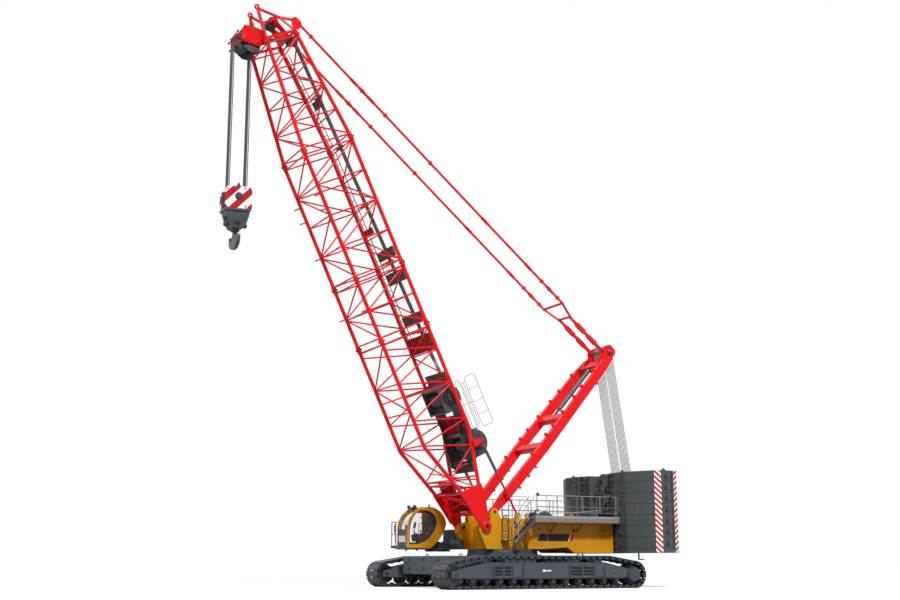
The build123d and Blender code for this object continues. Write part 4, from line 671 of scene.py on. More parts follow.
def rail_frames():
    """Two round-cornered guard frames beside the winches, on the boom's back."""
    rails = Piece("winch_guard_rails", "boom", "galvanised")
    y, s0, s1 = 1.12, 4.05, 6.45
    for z0, z1, cross in ((1.36, 1.58, 0), (1.86, 2.44, 3)):
        corners = [boom_at(s, y, z) for s, z in rect(s0, s1, z0, z1)]
        rails.tube(round_frame(corners, 0.16), 0.014, 6, closed=True)
        for i in range(1, cross + 1):
            s = s0 + (s1 - s0) * i / (cross + 1)
            rails.rod(boom_at(s, y, z0), boom_at(s, y, z1), 0.011, 6)
    for z in (1.66, 1.76):
        rails.rod(boom_at(4.2, y, z), boom_at(6.3, y, z), 0.011, 6)
    rails.rod(boom_at(5.3, y, 1.10), boom_at(5.3, y, 1.86), 0.013, 6)
    rails.done()


def chord_tabs():
    """Small horns and storage brackets welded to the chords."""
    tabs = Piece("boom_chord_horns", "boom", "galvanised")
    for s in (22.9, 22.3, 20.7, 19.6, 13.4, 10.3):
        p = chord_point(s, 1, True)
        knee = p + boom_at.up * 0.20
        tabs.rod(p, p + boom_at.up * 0.26, 0.012, 6)
        tabs.rod(knee, knee + boom_at.along * 0.05, 0.012, 6)
    tabs.done()
    brackets = Piece("boom_storage_brackets", "boom", "boom_red")
    place = boom_at.matrix()
    for s in (16.4, 15.7, 13.9, 10.9):
        for side in (1, -1):
            p = place.inverted() @ chord_point(s, side, False)
            for reach, z0, z1 in ((0.03, 0.26, 0.05), (0.16, 0.30, 0.25)):
                brackets.box((s - 0.03, p.y - reach, p.z - z0), (s + 0.03, p.y + 0.03, p.z - z1), place)
    brackets.done(0.006)


def backstop_fittings():
    """Collars round the gland end and the foot of each backstop barrel."""
    for name in ("left", "right"):
        pivot = Vector(JOINTS[f"backstop_pivot_{name}"]["pos_m"])
        along = Vector(JOINTS[f"backstop_slide_{name}"]["axis"])
        collar = Piece(f"backstop_gland_{name}", f"backstop_barrel_{name}", "boom_red")
        for start, end, rim, radius in ((1.66, 1.77, 0.075, 0.088), (0.24, 0.30, 0.068, 0.08)):
            collar.spool(pivot + along * start, pivot + along * end, [(0, rim), (0.1, radius)])
        collar.done()


# ---------------------------------------------------------------- mast and pendants
def mast_fittings():
    """Guide lugs, plate seams and pin caps on the mast legs."""
    lugs = Piece("mast_leg_lugs", "mast", "boom_red")
    place = mast_at.matrix()
    for side in (1, -1):
        for s in (3.3, 4.5, 5.1, 5.98, 7.0, 7.7, 8.8):
            y = side * (1.28 - 0.0555 * max(s - 4.0, 0) - 0.05)
            lugs.box((s - 0.07, y - 0.035, -0.345), (s + 0.07, y + 0.035, -0.20), place)
            lugs.box((s - 0.03, y - 0.09, -0.345), (s + 0.03, y + 0.09, -0.31), place)
        for s in (1.7, 2.4, 2.95, 8.4):
            y = side * (1.16 + 0.04 * s if s < 4 else 1.05)
            lugs.box((s - 0.05, y - 0.04, 0.20), (s + 0.05, y + 0.04, 0.33), place)
    lugs.done(0.008)
    seams = Piece("mast_leg_seams", "mast", "boom_red")
    for side in (1, -1):
        for s in (1.6, 4.0, 9.2):
            y = side * (1.28 - 0.0555 * (s - 4.0) if s >= 4 else 1.11 + 0.055 * (s - 0.9))
            seams.box((s - 0.012, y - 0.137, -0.222), (s + 0.012, y + 0.137, 0.222), place)
    seams.done(0.004)
    pins = Piece("mast_pin_caps", "mast", "winch_dark")
    for s, y, z, radius in ((10.38, 0.62, 0.0, 0.10), (10.175, 0.60, -0.351, 0.07)):
        for side in (1, -1):
            pins.cap(mast_at(s, side * y, z), (0, side * 0.05, 0), radius, 0.7, radius * 0.8)
    pins.done()


def pendant_fittings():
    """Pin heads and link plates at the pendant joints, and the adjusters beside the mast tip."""
    adjusters = Piece("pendant_adjusters", "pendants", "boom_red")
    for side in (1, -1):
        for s0, s1 in ((0.34, 1.12), (1.16, 1.96)):
            outline = long_plate(s0, s1, 0.04, 0.16, 0.11)
            for away in (-0.055, 0.035):
                adjusters.plate(outline, side * 0.47 + away, 0.02, pendant_at)
    adjusters.done(0.004)
    pins = Piece("pendant_pins", "pendants", "winch_dark")
    links = Piece("pendant_links", "pendants", "boom_red")
    for s in (0.78, 4.12, 5.64, 8.69, 16.47, 17.0, 17.6):
        for side in (1, -1):
            y = side * (0.86 if s > 1 else 0.47)
            pins.spool(pendant_at(s, y - 0.075, 0), pendant_at(s, y + 0.075, 0),
                       [(0, 0.028), (0.12, 0.036), (0.2, 0.022)], 12)
            for away in (-0.042, 0.036):
                links.plate(long_plate(s - 0.26, s + 0.26, 0.035, 0.06, 0.06), y + away, 0.006, pendant_at)
    pins.done()
    links.done(0.002)


# ---------------------------------------------------------------- machine house
def house_fittings():
    """Blank plate, seams, ports and lifting eyes of the side enclosures."""
    face = 1.44
    low, high, lean = 2.05, 2.38, 0.13
    for name, slot, mat, x0, x1 in (("black", "frame_dark", "plate_black", -1.02, -2.62),
                                    ("red", "boom_red", "boom_red", -2.70, -2.86),
                                    ("white", "galvanised", "plate_white", -2.64, -2.68)):
        strip = Piece("side_plate_" + name, "superstructure", slot, mat)
        strip.plate([(x0, low), (x1, low), (x1 - lean, high), (x0 - lean, high)], face, 0.004)
        strip.done(0)
    seams = Piece("house_seams", "superstructure", "body_amber")
    for x in (-1.55, -2.95, -3.85, -4.35):
        seams.box((x - 0.012, face, 2.01), (x + 0.012, face + 0.008, 2.85))
    seams.box((-4.89, face, 2.425), (-0.62, face + 0.006, 2.44))
    for x in (-1.3, -2.7, -4.1):
        seams.box((x - 0.03, 1.50, 1.86), (x + 0.03, 1.507, 1.98))
    seams.done(0.003)
    holes = Piece("house_ports", "superstructure", "frame_dark", "plate_black")
    for x, z, radius in ((-2.93, 2.53, 0.06), (-1.15, 2.62, 0.045)):
        holes.cap((x, face, z), (0, 0.02, 0), radius, 0.6, radius * 0.8)
    holes.done()
    eyes = Piece("house_lifting_eyes", "superstructure", "body_amber")
    for x in (-3.11, -0.72):
        for y in (1.02, -1.02):
            eyes.ring((x, y, 3.21), (0, 0, 1), 0.075, 0.035, 20)
            eyes.box((x - 0.11, y - 0.035, 3.05), (x + 0.11, y + 0.035, 3.16))
    eyes.done()


def engine_side():
    """Louvres and handles on the engine doors."""
    for name, x0, x1 in (("engine_door_rear", -4.80, -3.42), ("engine_door_front", -3.30, -1.92)):
        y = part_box(name)[0].y
        vents = Piece(name + "_louvres", name, "body_amber")
        a, b = x0 + 0.25, x1 - 0.35
        for i in range(9):
            z = 2.22 + 0.055 * i
            vents.sheet([(a, y, z), (b, y, z), (b, y - 0.022, z - 0.012), (a, y - 0.022, z - 0.012)],
                        (0, 0, 0.006))
        vents.done(0.002)
        handle = Piece(name + "_handle", name, "winch_dark")
        handle.box((x0 + 0.10, y - 0.02, 2.38), (x0 + 0.17, y, 2.50))
        handle.rod((x0 + 0.135, y - 0.035, 2.40), (x0 + 0.135, y - 0.035, 2.48), 0.012)
        handle.done(0.004)


def roof_fittings():
    """Hatches, grab handles, fillers, fan grille and exhaust on the two enclosures' roofs."""
    hatches = Piece("roof_hatches", "superstructure", "body_amber")
    metal = Piece("roof_metalwork", "superstructure", "winch_dark")
    for node, y0, y1 in (("machine_house_left", 0.70, 1.28), ("machine_house_right", -1.28, -0.70)):
        low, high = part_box(node)
        roof, x0, x1, y = high.z, low.x + 0.35, low.x + 3.4, (y0 + y1) / 2
        step = (x1 - x0) / 3
        for i in range(3):
            a = x0 + step * i
            hatches.box((a, y0, roof - 0.01), (a + step - 0.12, y1, roof + 0.022))
            loop = ((0.30, 0.02), (0.30, 0.07), (0.48, 0.07), (0.48, 0.02))
            metal.tube([(a + x, y, roof + z) for x, z in loop], 0.011, 6)
            for x in (a + 0.10, a + step - 0.22):
                metal.turned((x - 0.05, y0 - 0.012, roof + 0.012), (x + 0.05, y0 - 0.012, roof + 0.012),
                             [(0, 0.014), (1, 0.014)], 8)
        metal.turned((x1 + 0.25, y, roof - 0.01), (x1 + 0.25, y, roof + 0.07),
                     [(0, 0.09), (0.5, 0.09), (0.5, 0.075), (1, 0.07)], 16)
    low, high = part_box("machine_house_right")
    roof = high.z + 0.02
    fan = Vector((low.x + 1.3, -1.0, roof + 0.03))
    for radius in (0.08, 0.14, 0.20, 0.26):
        metal.ring(fan, (0, 1, 0), radius, 0.008, 24, 5)
    for turn in range(0, 180, 30):
        way = Vector((math.cos(math.radians(turn)), math.sin(math.radians(turn)), 0)) * 0.27
        metal.rod(fan - way, fan + way, 0.007, 5)
    pipe = ((2.75, 0), (2.75, 0.42), (2.70, 0.50), (2.55, 0.55))
    metal.tube([(low.x + x, -0.95, roof + z) for x, z in pipe], 0.055, 14)
    hatches.done(0.006)
    metal.done()


def deck_fittings():
    """Front rails, stair handrails and work lamps."""
    rails = Piece("front_deck_rails", "superstructure", "galvanised")
    foot, top, centre = 3.06, 4.02, 3.62
    for side in (1, -1):
        y0, y1 = side * 1.16, side * 1.42
        rails.tube([(0.30, y0, foot), (0.30, y0, top - 0.1), (0.20, y0, top), (-0.46, y1, top),
                    (-0.56, y1, top - 0.1), (-0.56, y1, foot)], 0.019, 8)
        rails.rod((0.30, y0, centre), (-0.56, y1, centre), 0.014)
    rails.done()
    stair = Piece("stair_handrails", "superstructure", "galvanised")
    for y in (1.63, 2.08):
        stair.tube([(0.33, y, 2.15), (0.33, y, 3.02), (0.25, y, 3.12), (-0.50, y, 4.02), (-0.56, y, 4.05)],
                   0.019, 8)
        stair.rod((0.33, y, 2.62), (-0.50, y, 3.56), 0.014)
    stair.done()
    lamps = Piece("deck_work_lamps", "superstructure", "winch_dark")
    y, z = 2.06, 4.09
    for x in (-4.6, -0.75):
        lamps.turned((x, y, z), (x + 0.09, y + 0.02, z + 0.02), [(0, 0.045), (0.3, 0.07), (1, 0.078)], 16)
        lamps.rod((x + 0.03, y, z - 0.07), (x + 0.03, y, z), 0.012)
    lamps.done()


def walkway_fittings():
    """Second rail and toe boards of the side walkways."""
    rails = Piece("walkway_inner_rails", "superstructure", "galvanised")
    boards = Piece("walkway_toe_boards", "superstructure", "galvanised")
    posts = [-4.95, -4.0, -3.05, -2.1, -1.15, -0.66]
    for y in (2.075, -2.075):
        for x0, x1 in zip(posts, posts[1:]):
            corners = [(x, y, z) for x, z in rect(x0 - 0.03, x1 + 0.03, 3.32, 4.06)]
            rails.tube(round_frame(corners, 0.06, 3), 0.0105, 6, closed=True)
        boards.box((-5.06, y - 0.006, 3.065), (-0.57, y + 0.006, 3.16))
    rails.done()
    boards.done(0)


# ---------------------------------------------------------------- counterweights
SLABS = 7
STACK = [(-5.08, 1.66), (-5.08, 2.60), (-5.74, 3.92), (-6.04, 4.08),     # plan of one side's slabs
         (-6.70, 4.08), (-7.00, 3.92), (-7.66, 2.60), (-7.66, 1.66)]


def ballast_fittings():
    """Stripes on the stacks' corners, key lugs on every slab and eyes on top."""
    low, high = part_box("counterweight_slabs")
    base, height = low.z, (high.z - low.z) / SLABS
    # The eyes, keys and groove strips take the darker ballast copy: painted shade
    eyes, keys, groove_shade_strip = (Piece("ballast_" + name, "superstructure", "ballast_grey", "ballast_shaded")
                          for name in ("eyes", "keys", "groove_shades"))
    for side in (1, -1):
        plan = [Vector((x, side * y, 0)) for x, y in STACK]

        def face(i):
            """Both ends of the face from corner i, its direction and its outward direction."""
            along = (plan[i + 1] - plan[i]).normalized()
            return plan[i], plan[i + 1], along, Vector((along.y, -along.x, 0)) * side

        for name, i in (("front", 2), ("rear", 4)):
            a, b, along, out = face(i)
            a, b = a + along * 0.012, b - along * 0.012
            strip = Piece(f"ballast_stripes_{name}_{'left' if side > 0 else 'right'}", "superstructure",
                          "block_stripe", "ballast_stripe_" + name)
            for k in range(SLABS):
                z0 = base + height * k + 0.004 - (0 if k else 0.185)
                z1 = base + height * (k + 1) - 0.004
                strip.sheet([a + up(z0), b + up(z0), b + up(z1), a + up(z1)], out * 0.006)
            strip.done(0.002)
        for i, share in ((0, 0.5), (3, 0.36), (6, 0.5)):
            a, b, along, out = face(i)
            at = a.lerp(b, share)
            for k in range(SLABS):
                c = at + up(base + height * (k + 0.5))
                keys.cap(c - out * 0.02, out * 0.065, 0.06, 0.7, 0.04, 10)
                keys.sheet([c + along * s + up(h) for s, h in
                            ((-0.10, -0.12), (0.05, -0.12), (0.05, -0.02), (0.13, 0.10), (0.06, 0.13),
                             (-0.02, 0.02))], out * 0.03)
            at = at - out * 0.16
            eyes.cap(at + up(high.z - 0.01), up(0.06), 0.10, 0.7, 0.07, 16)
            eyes.tube(arc(at + up(high.z + 0.04), along, (0, 0, 1), 0.055, 0, 180, 10), 0.022, 8)
        # Dark strip down each slab where the groove is: painted shade in the groove
        at = plan[3].lerp(plan[4], 0.84)
        for k in range(SLABS):
            z0, z1 = base + height * k + 0.03, base + height * (k + 1) - 0.03
            groove_shade_strip.plate(rect(at.x - 0.03, at.x + 0.03, z0, z1), at.y, side * 0.012)
        for i in range(2 * SLABS):
            z = base + height * (i + 0.5) / 2
            for share in (0.12, 0.5, 0.62, 0.92):
                c = Vector((-5.33, side * 0.775, z)).lerp(Vector((-5.08, side * 1.66, z)), share)
                keys.box(c - Vector((0.03, 0.05, 0.07)), c + Vector((0.05, 0.05, 0.06)))
                if i % 2:
                    keys.turned(c + Vector((0.03, 0, 0.10)), c + Vector((0.08, 0, 0.10)),
                                [(0, 0.035), (1, 0.025)], 8)
            if i < 2 * SLABS - 1:
                a = Vector((-5.25, side * 0.90, z))
                keys.rod(a, a + Vector((0.06, side * 0.22, height / 2)), 0.022, 6)
    keys.done(0.004)
    eyes.done()
    groove_shade_strip.done(0.003)
    feet = Piece("ballast_brackets", "superstructure", "winch_dark")
    for y in (2.4, -2.4):
        feet.box((-5.86, y, 1.22), (-5.80, y + 0.05, 1.54))
        feet.box((-6.12, y, 1.22), (-5.80, y + 0.05, 1.27))
    feet.done(0.004)


def carrier_fittings():
    """Bolt rows, ladder and boxes on the tower between the stacks."""
    bits = Piece("carrier_tower_bolts", "superstructure", "winch_dark")
    # The tower ladder takes the darker ballast copy: painted shade
    ladder = Piece("carrier_ladder", "superstructure", "ballast_grey", "ballast_shaded")
    for y in (-0.28, 0.02):
        ladder.rod((-5.50, y, 2.4), (-5.50, y, 4.9), 0.02)
    for i in range(9):
        for y in (-0.53, 0.53):
            bits.hexagon((-5.56, y, 2.6 + 0.24 * i), (1, 0, 0), 0.028, 0.02)
        ladder.rod((-5.50, -0.28, 2.55 + 0.28 * i), (-5.50, 0.02, 2.55 + 0.28 * i), 0.014)
    bits.done(0)
    ladder.done()
    boxes = Piece("carrier_boxes", "superstructure", "winch_dark")
    for y, z in ((0.22, 2.9), (0.22, 3.6), (-0.40, 4.3), (0.25, 4.3)):
        boxes.box((-5.56, y - 0.12, z), (-5.44, y + 0.12, z + 0.34))
        boxes.cap((-5.44, y, z + 0.17), (0.06, 0, 0), 0.08, 0.8, 0.06, 16)
    boxes.done(0.01)


# ---------------------------------------------------------------- tracks
END_X = 4.41                    # end wheel centres
END_RADIUS = 0.59
CREST = (3.10, 1.40)            # end of the raised top run, height
TRACK_MID = 3.52
SHOES = 62
FRAME_FACE = TRACK_MID + 0.47   # outer faces of the side frames


def track_place(share):
    """Point, outward and forward directions on the outside line of a track, share 0 to 1."""
    run, rise = CREST[0] - END_X, CREST[1] - END_RADIUS
    turn = math.atan2(rise, run) - math.acos(END_RADIUS / math.hypot(rise, run))
    tip = (END_X + END_RADIUS * math.cos(turn), END_RADIUS * (1 + math.sin(turn)))
    slope = math.hypot(tip[0] - CREST[0], CREST[1] - tip[1])
    runs = [END_X, END_RADIUS * (turn + math.pi / 2), slope, CREST[0]]
    half = sum(runs)
    left, side = share * 2 * half, 1
    if left > half:
        left, side = 2 * half - left, -1
    if left <= runs[0]:
        x, z, nx, nz = left, 0.0, 0.0, -1.0
    elif left <= runs[0] + runs[1]:
        angle = -math.pi / 2 + (left - runs[0]) / END_RADIUS
        nx, nz = math.cos(angle), math.sin(angle)
        x, z = END_X + END_RADIUS * nx, END_RADIUS * (1 + nz)
    elif left <= half - runs[3]:
        along = left - runs[0] - runs[1]
        nx, nz = math.cos(turn), math.sin(turn)
        x, z = tip[0] - along * nz, tip[1] + along * nx
    else:
        x, z, nx, nz = half - left, CREST[1], 0.0, 1.0
    normal = Vector((side * nx, 0, nz))
    return Vector((side * x, 0, z)), normal, Vector((-normal.z, 0, normal.x)), 2 * half


def tracks():
    """Cast shoes with rounded ends, ground ribs, drive lugs and the knuckles between them."""
    half = track_place(0)[3] / SHOES / 2
    w = half * 0.88
    profile = [(-w, 0.018), (-w + 0.015, 0.0), (w - 0.015, 0.0), (w, 0.018), (w, 0.055),
               (w * 0.70, 0.080), (w * 0.60, 0.150), (-w * 0.60, 0.150), (-w * 0.70, 0.080), (-w, 0.055)]
    for mid, name in ((TRACK_MID, "left"), (-TRACK_MID, "right")):
        shoes = Piece(f"track_shoes_{name}", "undercarriage", "track_steel")
        lugs = Piece(f"track_lugs_{name}", "undercarriage", "track_steel")
        for i in range(SHOES):
            point, out, ahead, _ = track_place((i + 0.5) / SHOES)

            def at(a, y, depth):
                return point + ahead * a - out * depth + Vector((0, y, 0))

            for y0, y1 in ((-0.625, -0.33), (-0.30, 0.30), (0.33, 0.625)):
                shoes.plate(profile, mid + y0, y1 - y0, at)
            shoes.plate(rect(-w * 0.8, w * 0.8, 0.02, 0.06), mid - 0.60, 1.20, at)
            for y in (mid - 0.46, mid + 0.46):
                lugs.spool(at(-half, y - 0.06, 0.085), at(-half, y + 0.06, 0.085),
                           [(0, 0.035), (0.12, 0.045)], 12)
                lugs.plate(rect(-half * 1.2, -half * 0.5, 0.10, 0.065), y - 0.05, 0.10, at)
            lugs.plate([(-0.075, 0.14), (0.075, 0.14), (0.035, 0.21), (-0.035, 0.21)], mid - 0.07, 0.14, at)
        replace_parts(shoes.done(0.006), f"track_{name}")
        lugs.done()


def sprockets():
    """Teeth round the rear drive wheels and bolt rings on hubs and gear cases."""
    teeth = Piece("sprocket_teeth", "undercarriage", "track_steel")
    bolts = Piece("hub_bolts", "undercarriage", "track_steel")
    for side in (1, -1):
        mid = side * TRACK_MID
        for x in (-END_X, END_X):
            for way in spokes(18):
                for y, out in ((mid - 0.29, -1), (mid + 0.282, 1)):
                    bolts.hexagon(Vector((x, y, END_RADIUS)) + way * 0.30, (0, out, 0), 0.022, 0.012)
                if x < 0:
                    tang = Vector((-way.z, 0, way.x))
                    c = Vector((x, mid - 0.10, END_RADIUS))
                    teeth.sheet([c + way * reach + tang * wide for reach, wide in
                                 ((0.33, -0.05), (0.33, 0.05), (0.415, 0.02), (0.415, -0.02))], (0, 0.20, 0))
        for i, way in enumerate(spokes(20)):
            c = Vector((-END_X, side * FRAME_FACE, END_RADIUS))
            bolts.hexagon(c + way * 0.30 + Vector((0, side * 0.06, 0)), (0, side, 0), 0.02, 0.014)
            if i % 2:
                bolts.hexagon(c + way * 0.20 + Vector((0, side * 0.12, 0)), (0, side, 0), 0.018, 0.012)
    teeth.done(0.006)
    bolts.done(0)


def track_frame_panels():
    """Plates, ribs, grab bars, top skids and the blank arrow on the side frames' outer faces."""
    plates = Piece("frame_side_plates", "undercarriage", "frame_dark")
    ribs = Piece("frame_ribs", "undercarriage", "frame_dark")
    dark = Piece("frame_slots", "undercarriage", "track_steel")
    skids = Piece("track_top_skids", "undercarriage", "track_steel")
    arrow = Piece("frame_arrow", "undercarriage", "galvanised", "plate_white")
    for side in (1, -1):
        face = side * FRAME_FACE
        for *place, thick in ((2.72, 4.30, 0.46, 0.84, 0.030), (-4.02, -2.95, 0.46, 0.84, 0.030),
                              (-1.05, 1.15, 0.46, 1.09, 0.022), (1.30, 1.72, 0.50, 1.02, 0.050),
                              (-2.80, -2.40, 0.50, 1.02, 0.050), (1.72, 2.60, 0.46, 0.56, 0.045),
                              (-2.40, -1.15, 0.46, 0.56, 0.045)):
            plates.plate(rect(*place), face, side * thick)
        for x in (2.64, 1.22, -1.10, -2.88, 2.18, -1.75):
            ribs.plate(rect(x - 0.025, x + 0.025, 0.46, 1.02 if abs(x) < 2.6 else 0.92), face, side * 0.075)
        for x0, x1 in ((1.80, 2.10), (2.26, 2.56), (-2.32, -1.83), (-1.68, -1.18)):
            for z in (0.64, 0.78, 0.92):
                ribs.plate(rect(x0, x1, z, z + 0.035), face, side * 0.085)
                ribs.plate(rect(x0, x0 + 0.03, z - 0.05, z + 0.035), face, side * 0.080)
        y = face + side * 0.028
        for x, z, wide in ((4.05, 0.66, 0.13), (3.30, 0.66, 0.13), (2.40, 0.70, 0.09), (-3.4, 0.66, 0.13)):
            dark.spool((x - wide / 2, y, z), (x + wide / 2, y, z), [(0, 0.012), (0.1, 0.022)], 10)
        for x in (-2.3, -0.05, 2.2):
            for y in (face - side * 0.18, face - side * 0.72):
                skids.plate([(x - 0.30, 1.06), (x + 0.30, 1.06), (x + 0.17, 1.205), (x - 0.17, 1.205)],
                            y, side * 0.05)
            skids.spool((x, face - side * 0.08, 1.155), (x, face - side * 0.84, 1.155),
                        [(0, 0.07), (0.2, 0.07), (0.2, 0.045)], 18)
        arrow.plate([(0.29, 0.76), (0.15, 0.835), (0.15, 0.788), (-0.17, 0.788), (-0.17, 0.732),
                     (0.15, 0.732), (0.15, 0.685)], face + side * 0.022, side * 0.004)
    plates.done(0.006)
    ribs.done(0.005)
    dark.done()
    skids.done(0.006)
    arrow.done(0)


def car_body_fittings():
    """Bolts and seal round the slewing ring, and lugs on the car-body weights."""
    bolts = Piece("slew_ring_bolts", "undercarriage", "frame_dark")
    for way in spokes(72):
        bolts.hexagon((1.56 * way.x, 1.56 * way.z, 1.478), (0, 0, -1), 0.022, 0.025)
    bolts.done(0)
    seal = Piece("slew_ring_seal", "superstructure", "winch_dark")
    seal.ring((0, 0, 1.578), (0, 1, 0), 1.605, 0.014, 96)
    seal.done()
    # The car-body weight lugs take the darker ballast copy: painted shade
    lugs = Piece("car_weight_lugs", "undercarriage", "ballast_grey", "ballast_shaded")
    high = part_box("car_body_weights")[1]
    for side in (1, -1):
        for y in (-1.5, 0.0, 1.5):
            for z in (0.86, 1.24):
                lugs.cap((side * (high.x - 0.01), y, z), (side * 0.05, 0, 0), 0.07, 0.7, 0.05, 14)
        for y in (-1.7, 1.7):
            lugs.tube(arc((side * 3.0, y, high.z + 0.01), (1, 0, 0), (0, 0, 1), 0.07, 0, 180, 12), 0.022, 8)
    lugs.done()


# ---------------------------------------------------------------- boom foot and head
def boom_foot_braces():
    """Tubes between the two foot plates and the stiffener rims on their outer faces."""
    tubes = Piece("boom_foot_braces", "boom", "boom_red")
    low, high, far = (0.66, -0.05), (1.75, 0.40), (1.75, -0.45)
    tubes.bar(boom_at, *low, 1.27, 0.095, 16)
    for s, z in (high, far, (2.3, -0.62)):
        tubes.bar(boom_at, s, z, 1.24, 0.050)
    for side in (1, -1):
        for s, z in (high, far):
            tubes.rod(boom_at(low[0], side * 1.2, low[1]), boom_at(s, -side * 0.1, z), 0.036, 8)
            tubes.rod(boom_at(s, side * 1.2, z), boom_at(1.2, 0, -0.02), 0.036, 8)
        tubes.rod(boom_at(2.3, side * 1.2, -0.62), boom_at(1.75, 0, 0.40), 0.034, 8)
    for i, s in enumerate((0.95, 1.35, 1.95, 2.45)):
        y = 1.2 if i % 2 else -1.2
        tubes.rod(boom_at(s, y, -0.30), boom_at(s + 0.42, -y, -0.42), 0.030, 8)
        tubes.rod(boom_at(s, -y, 0.10), boom_at(s + 0.42, y, 0.34), 0.030, 8)
    tubes.done()
    decks("boom_foot_deck", "boom_foot_deck_frame", "boom_red", "shadow_red", 0.06,
          ((0.75, 1.70, -1.22, 1.22, 0.05), (1.80, 2.30, -1.05, 0.30, -0.25)))
    rims = Piece("boom_foot_rims", "boom", "boom_red")
    for side in (1, -1):
        y = side * 1.395
        rims.cap(boom_at(0, y, 0), (0, side * 0.03, 0), 0.19, 0.6, 0.17, 28)
        for z0, z1 in ((0.28, 0.50), (-0.28, -0.56)):
            rims.plate([(0.3, z0), (1.8, z1), (1.8, z1 - 0.03), (0.3, z0 - 0.03)], y, side * 0.012, boom_at)
    rims.done(0.004)


def head_fittings():
    """Guide sheaves, rope guards, pin caps and jib lugs on the boom head."""
    wheels = Piece("head_guide_sheaves", "boom", "winch_dark")
    for s, z, radius in ((24.62, 0.16, 0.26), (23.62, 0.72, 0.16)):
        for y in (-0.2, 0.0, 0.2):
            wheels.turned(boom_at(s, y - 0.06, z), boom_at(s, y + 0.06, z),
                          [(0, radius * 0.8), (0, radius), (0.2, radius), (0.5, radius * 0.84), (0.8, radius),
                           (1, radius), (1, radius * 0.8)], 28)
        wheels.bar(boom_at, s, z, 0.62, 0.035)
    wheels.done()
    guides = Piece("head_rope_guides", "boom", "winch_dark")
    arms = Piece("head_guide_arms", "boom", "boom_red")
    for side in (1, -1):
        guides.plate([(23.90, -1.30), (23.85, -1.78), (23.55, -1.62), (23.38, -1.30), (23.44, -1.12),
                      (23.66, -1.0)], side * 0.50, side * 0.02, boom_at)
        arms.plate([(23.7, 0.45), (24.62, 0.0), (24.78, 0.16), (24.62, 0.32), (23.7, 0.66)],
                   side * 0.34, side * 0.02, boom_at)
        for s, z in ((24.45, -1.38), (24.57, -1.10)):
            arms.plate([(s, z), (s + 0.21, z + 0.07), (s + 0.21, z + 0.15), (s, z + 0.15)],
                       side * 0.60, side * 0.03, boom_at)
    guides.done(0.006)
    arms.done(0.006)
    pins = Piece("head_pin_caps", "boom", "boom_red")
    for s, z, y, radius in ((24.65, -1.38, 0.58, 0.07), (23.81, -1.11, 0.58, 0.07),
                            (24.12, -1.57, 0.60, 0.15)):
        for side in (1, -1):
            pins.cap(boom_at(s, side * y, z), (0, side * 0.07, 0), radius, 0.8, radius * 0.7)
    for s, z in ((24.40, -1.92), (24.05, -2.02), (24.55, -1.75)):
        pins.bar(boom_at, s, z, 0.52, 0.028)
        for y in (-0.53, 0.53):
            pins.spool(boom_at(s, y - 0.02, z), boom_at(s, y + 0.02, z), [(0, 0.04), (0.3, 0.055)], 14)
            pins.rod(boom_at(s, y, z), boom_at(24.12, y, -1.57), 0.018, 6)
    pins.done()


def winch_housings():
    """Gear cases with their bolts, and the frame plates round the two hoist winches."""
    cases = Piece("hoist_gear_cases", "boom", "winch_dark")
    plates = ((-0.62, 0.62, -0.84, -0.78, -0.52, 0.28), (-0.62, 0.62, 0.78, 0.84, -0.52, 0.28),
              (0.50, 0.58, -0.80, 0.80, -0.50, 0.10), (-0.60, -0.52, -0.80, 0.80, -0.50, -0.10))
    for s, z in ((5.85, 1.05), (3.5, 1.40)):
        for side in (1, -1):
            cases.turned(boom_at(s, side * 0.80, z), boom_at(s, side * 1.10, z),
                         [(0, 0.36), (0.5, 0.36), (0.55, 0.27), (0.9, 0.27), (0.95, 0.16), (1, 0.14)], 26)
            for way in spokes(12):
                at = boom_at(s + 0.31 * way.x, side * 0.95, z + 0.31 * way.z)
                cases.hexagon(at, (0, side, 0), 0.02, 0.02)
        for x0, x1, y0, y1, z0, z1 in plates:
            cases.box((s + x0, y0, z + z0), (s + x1, y1, z + z1), boom_at.matrix())
    cases.done(0.008)


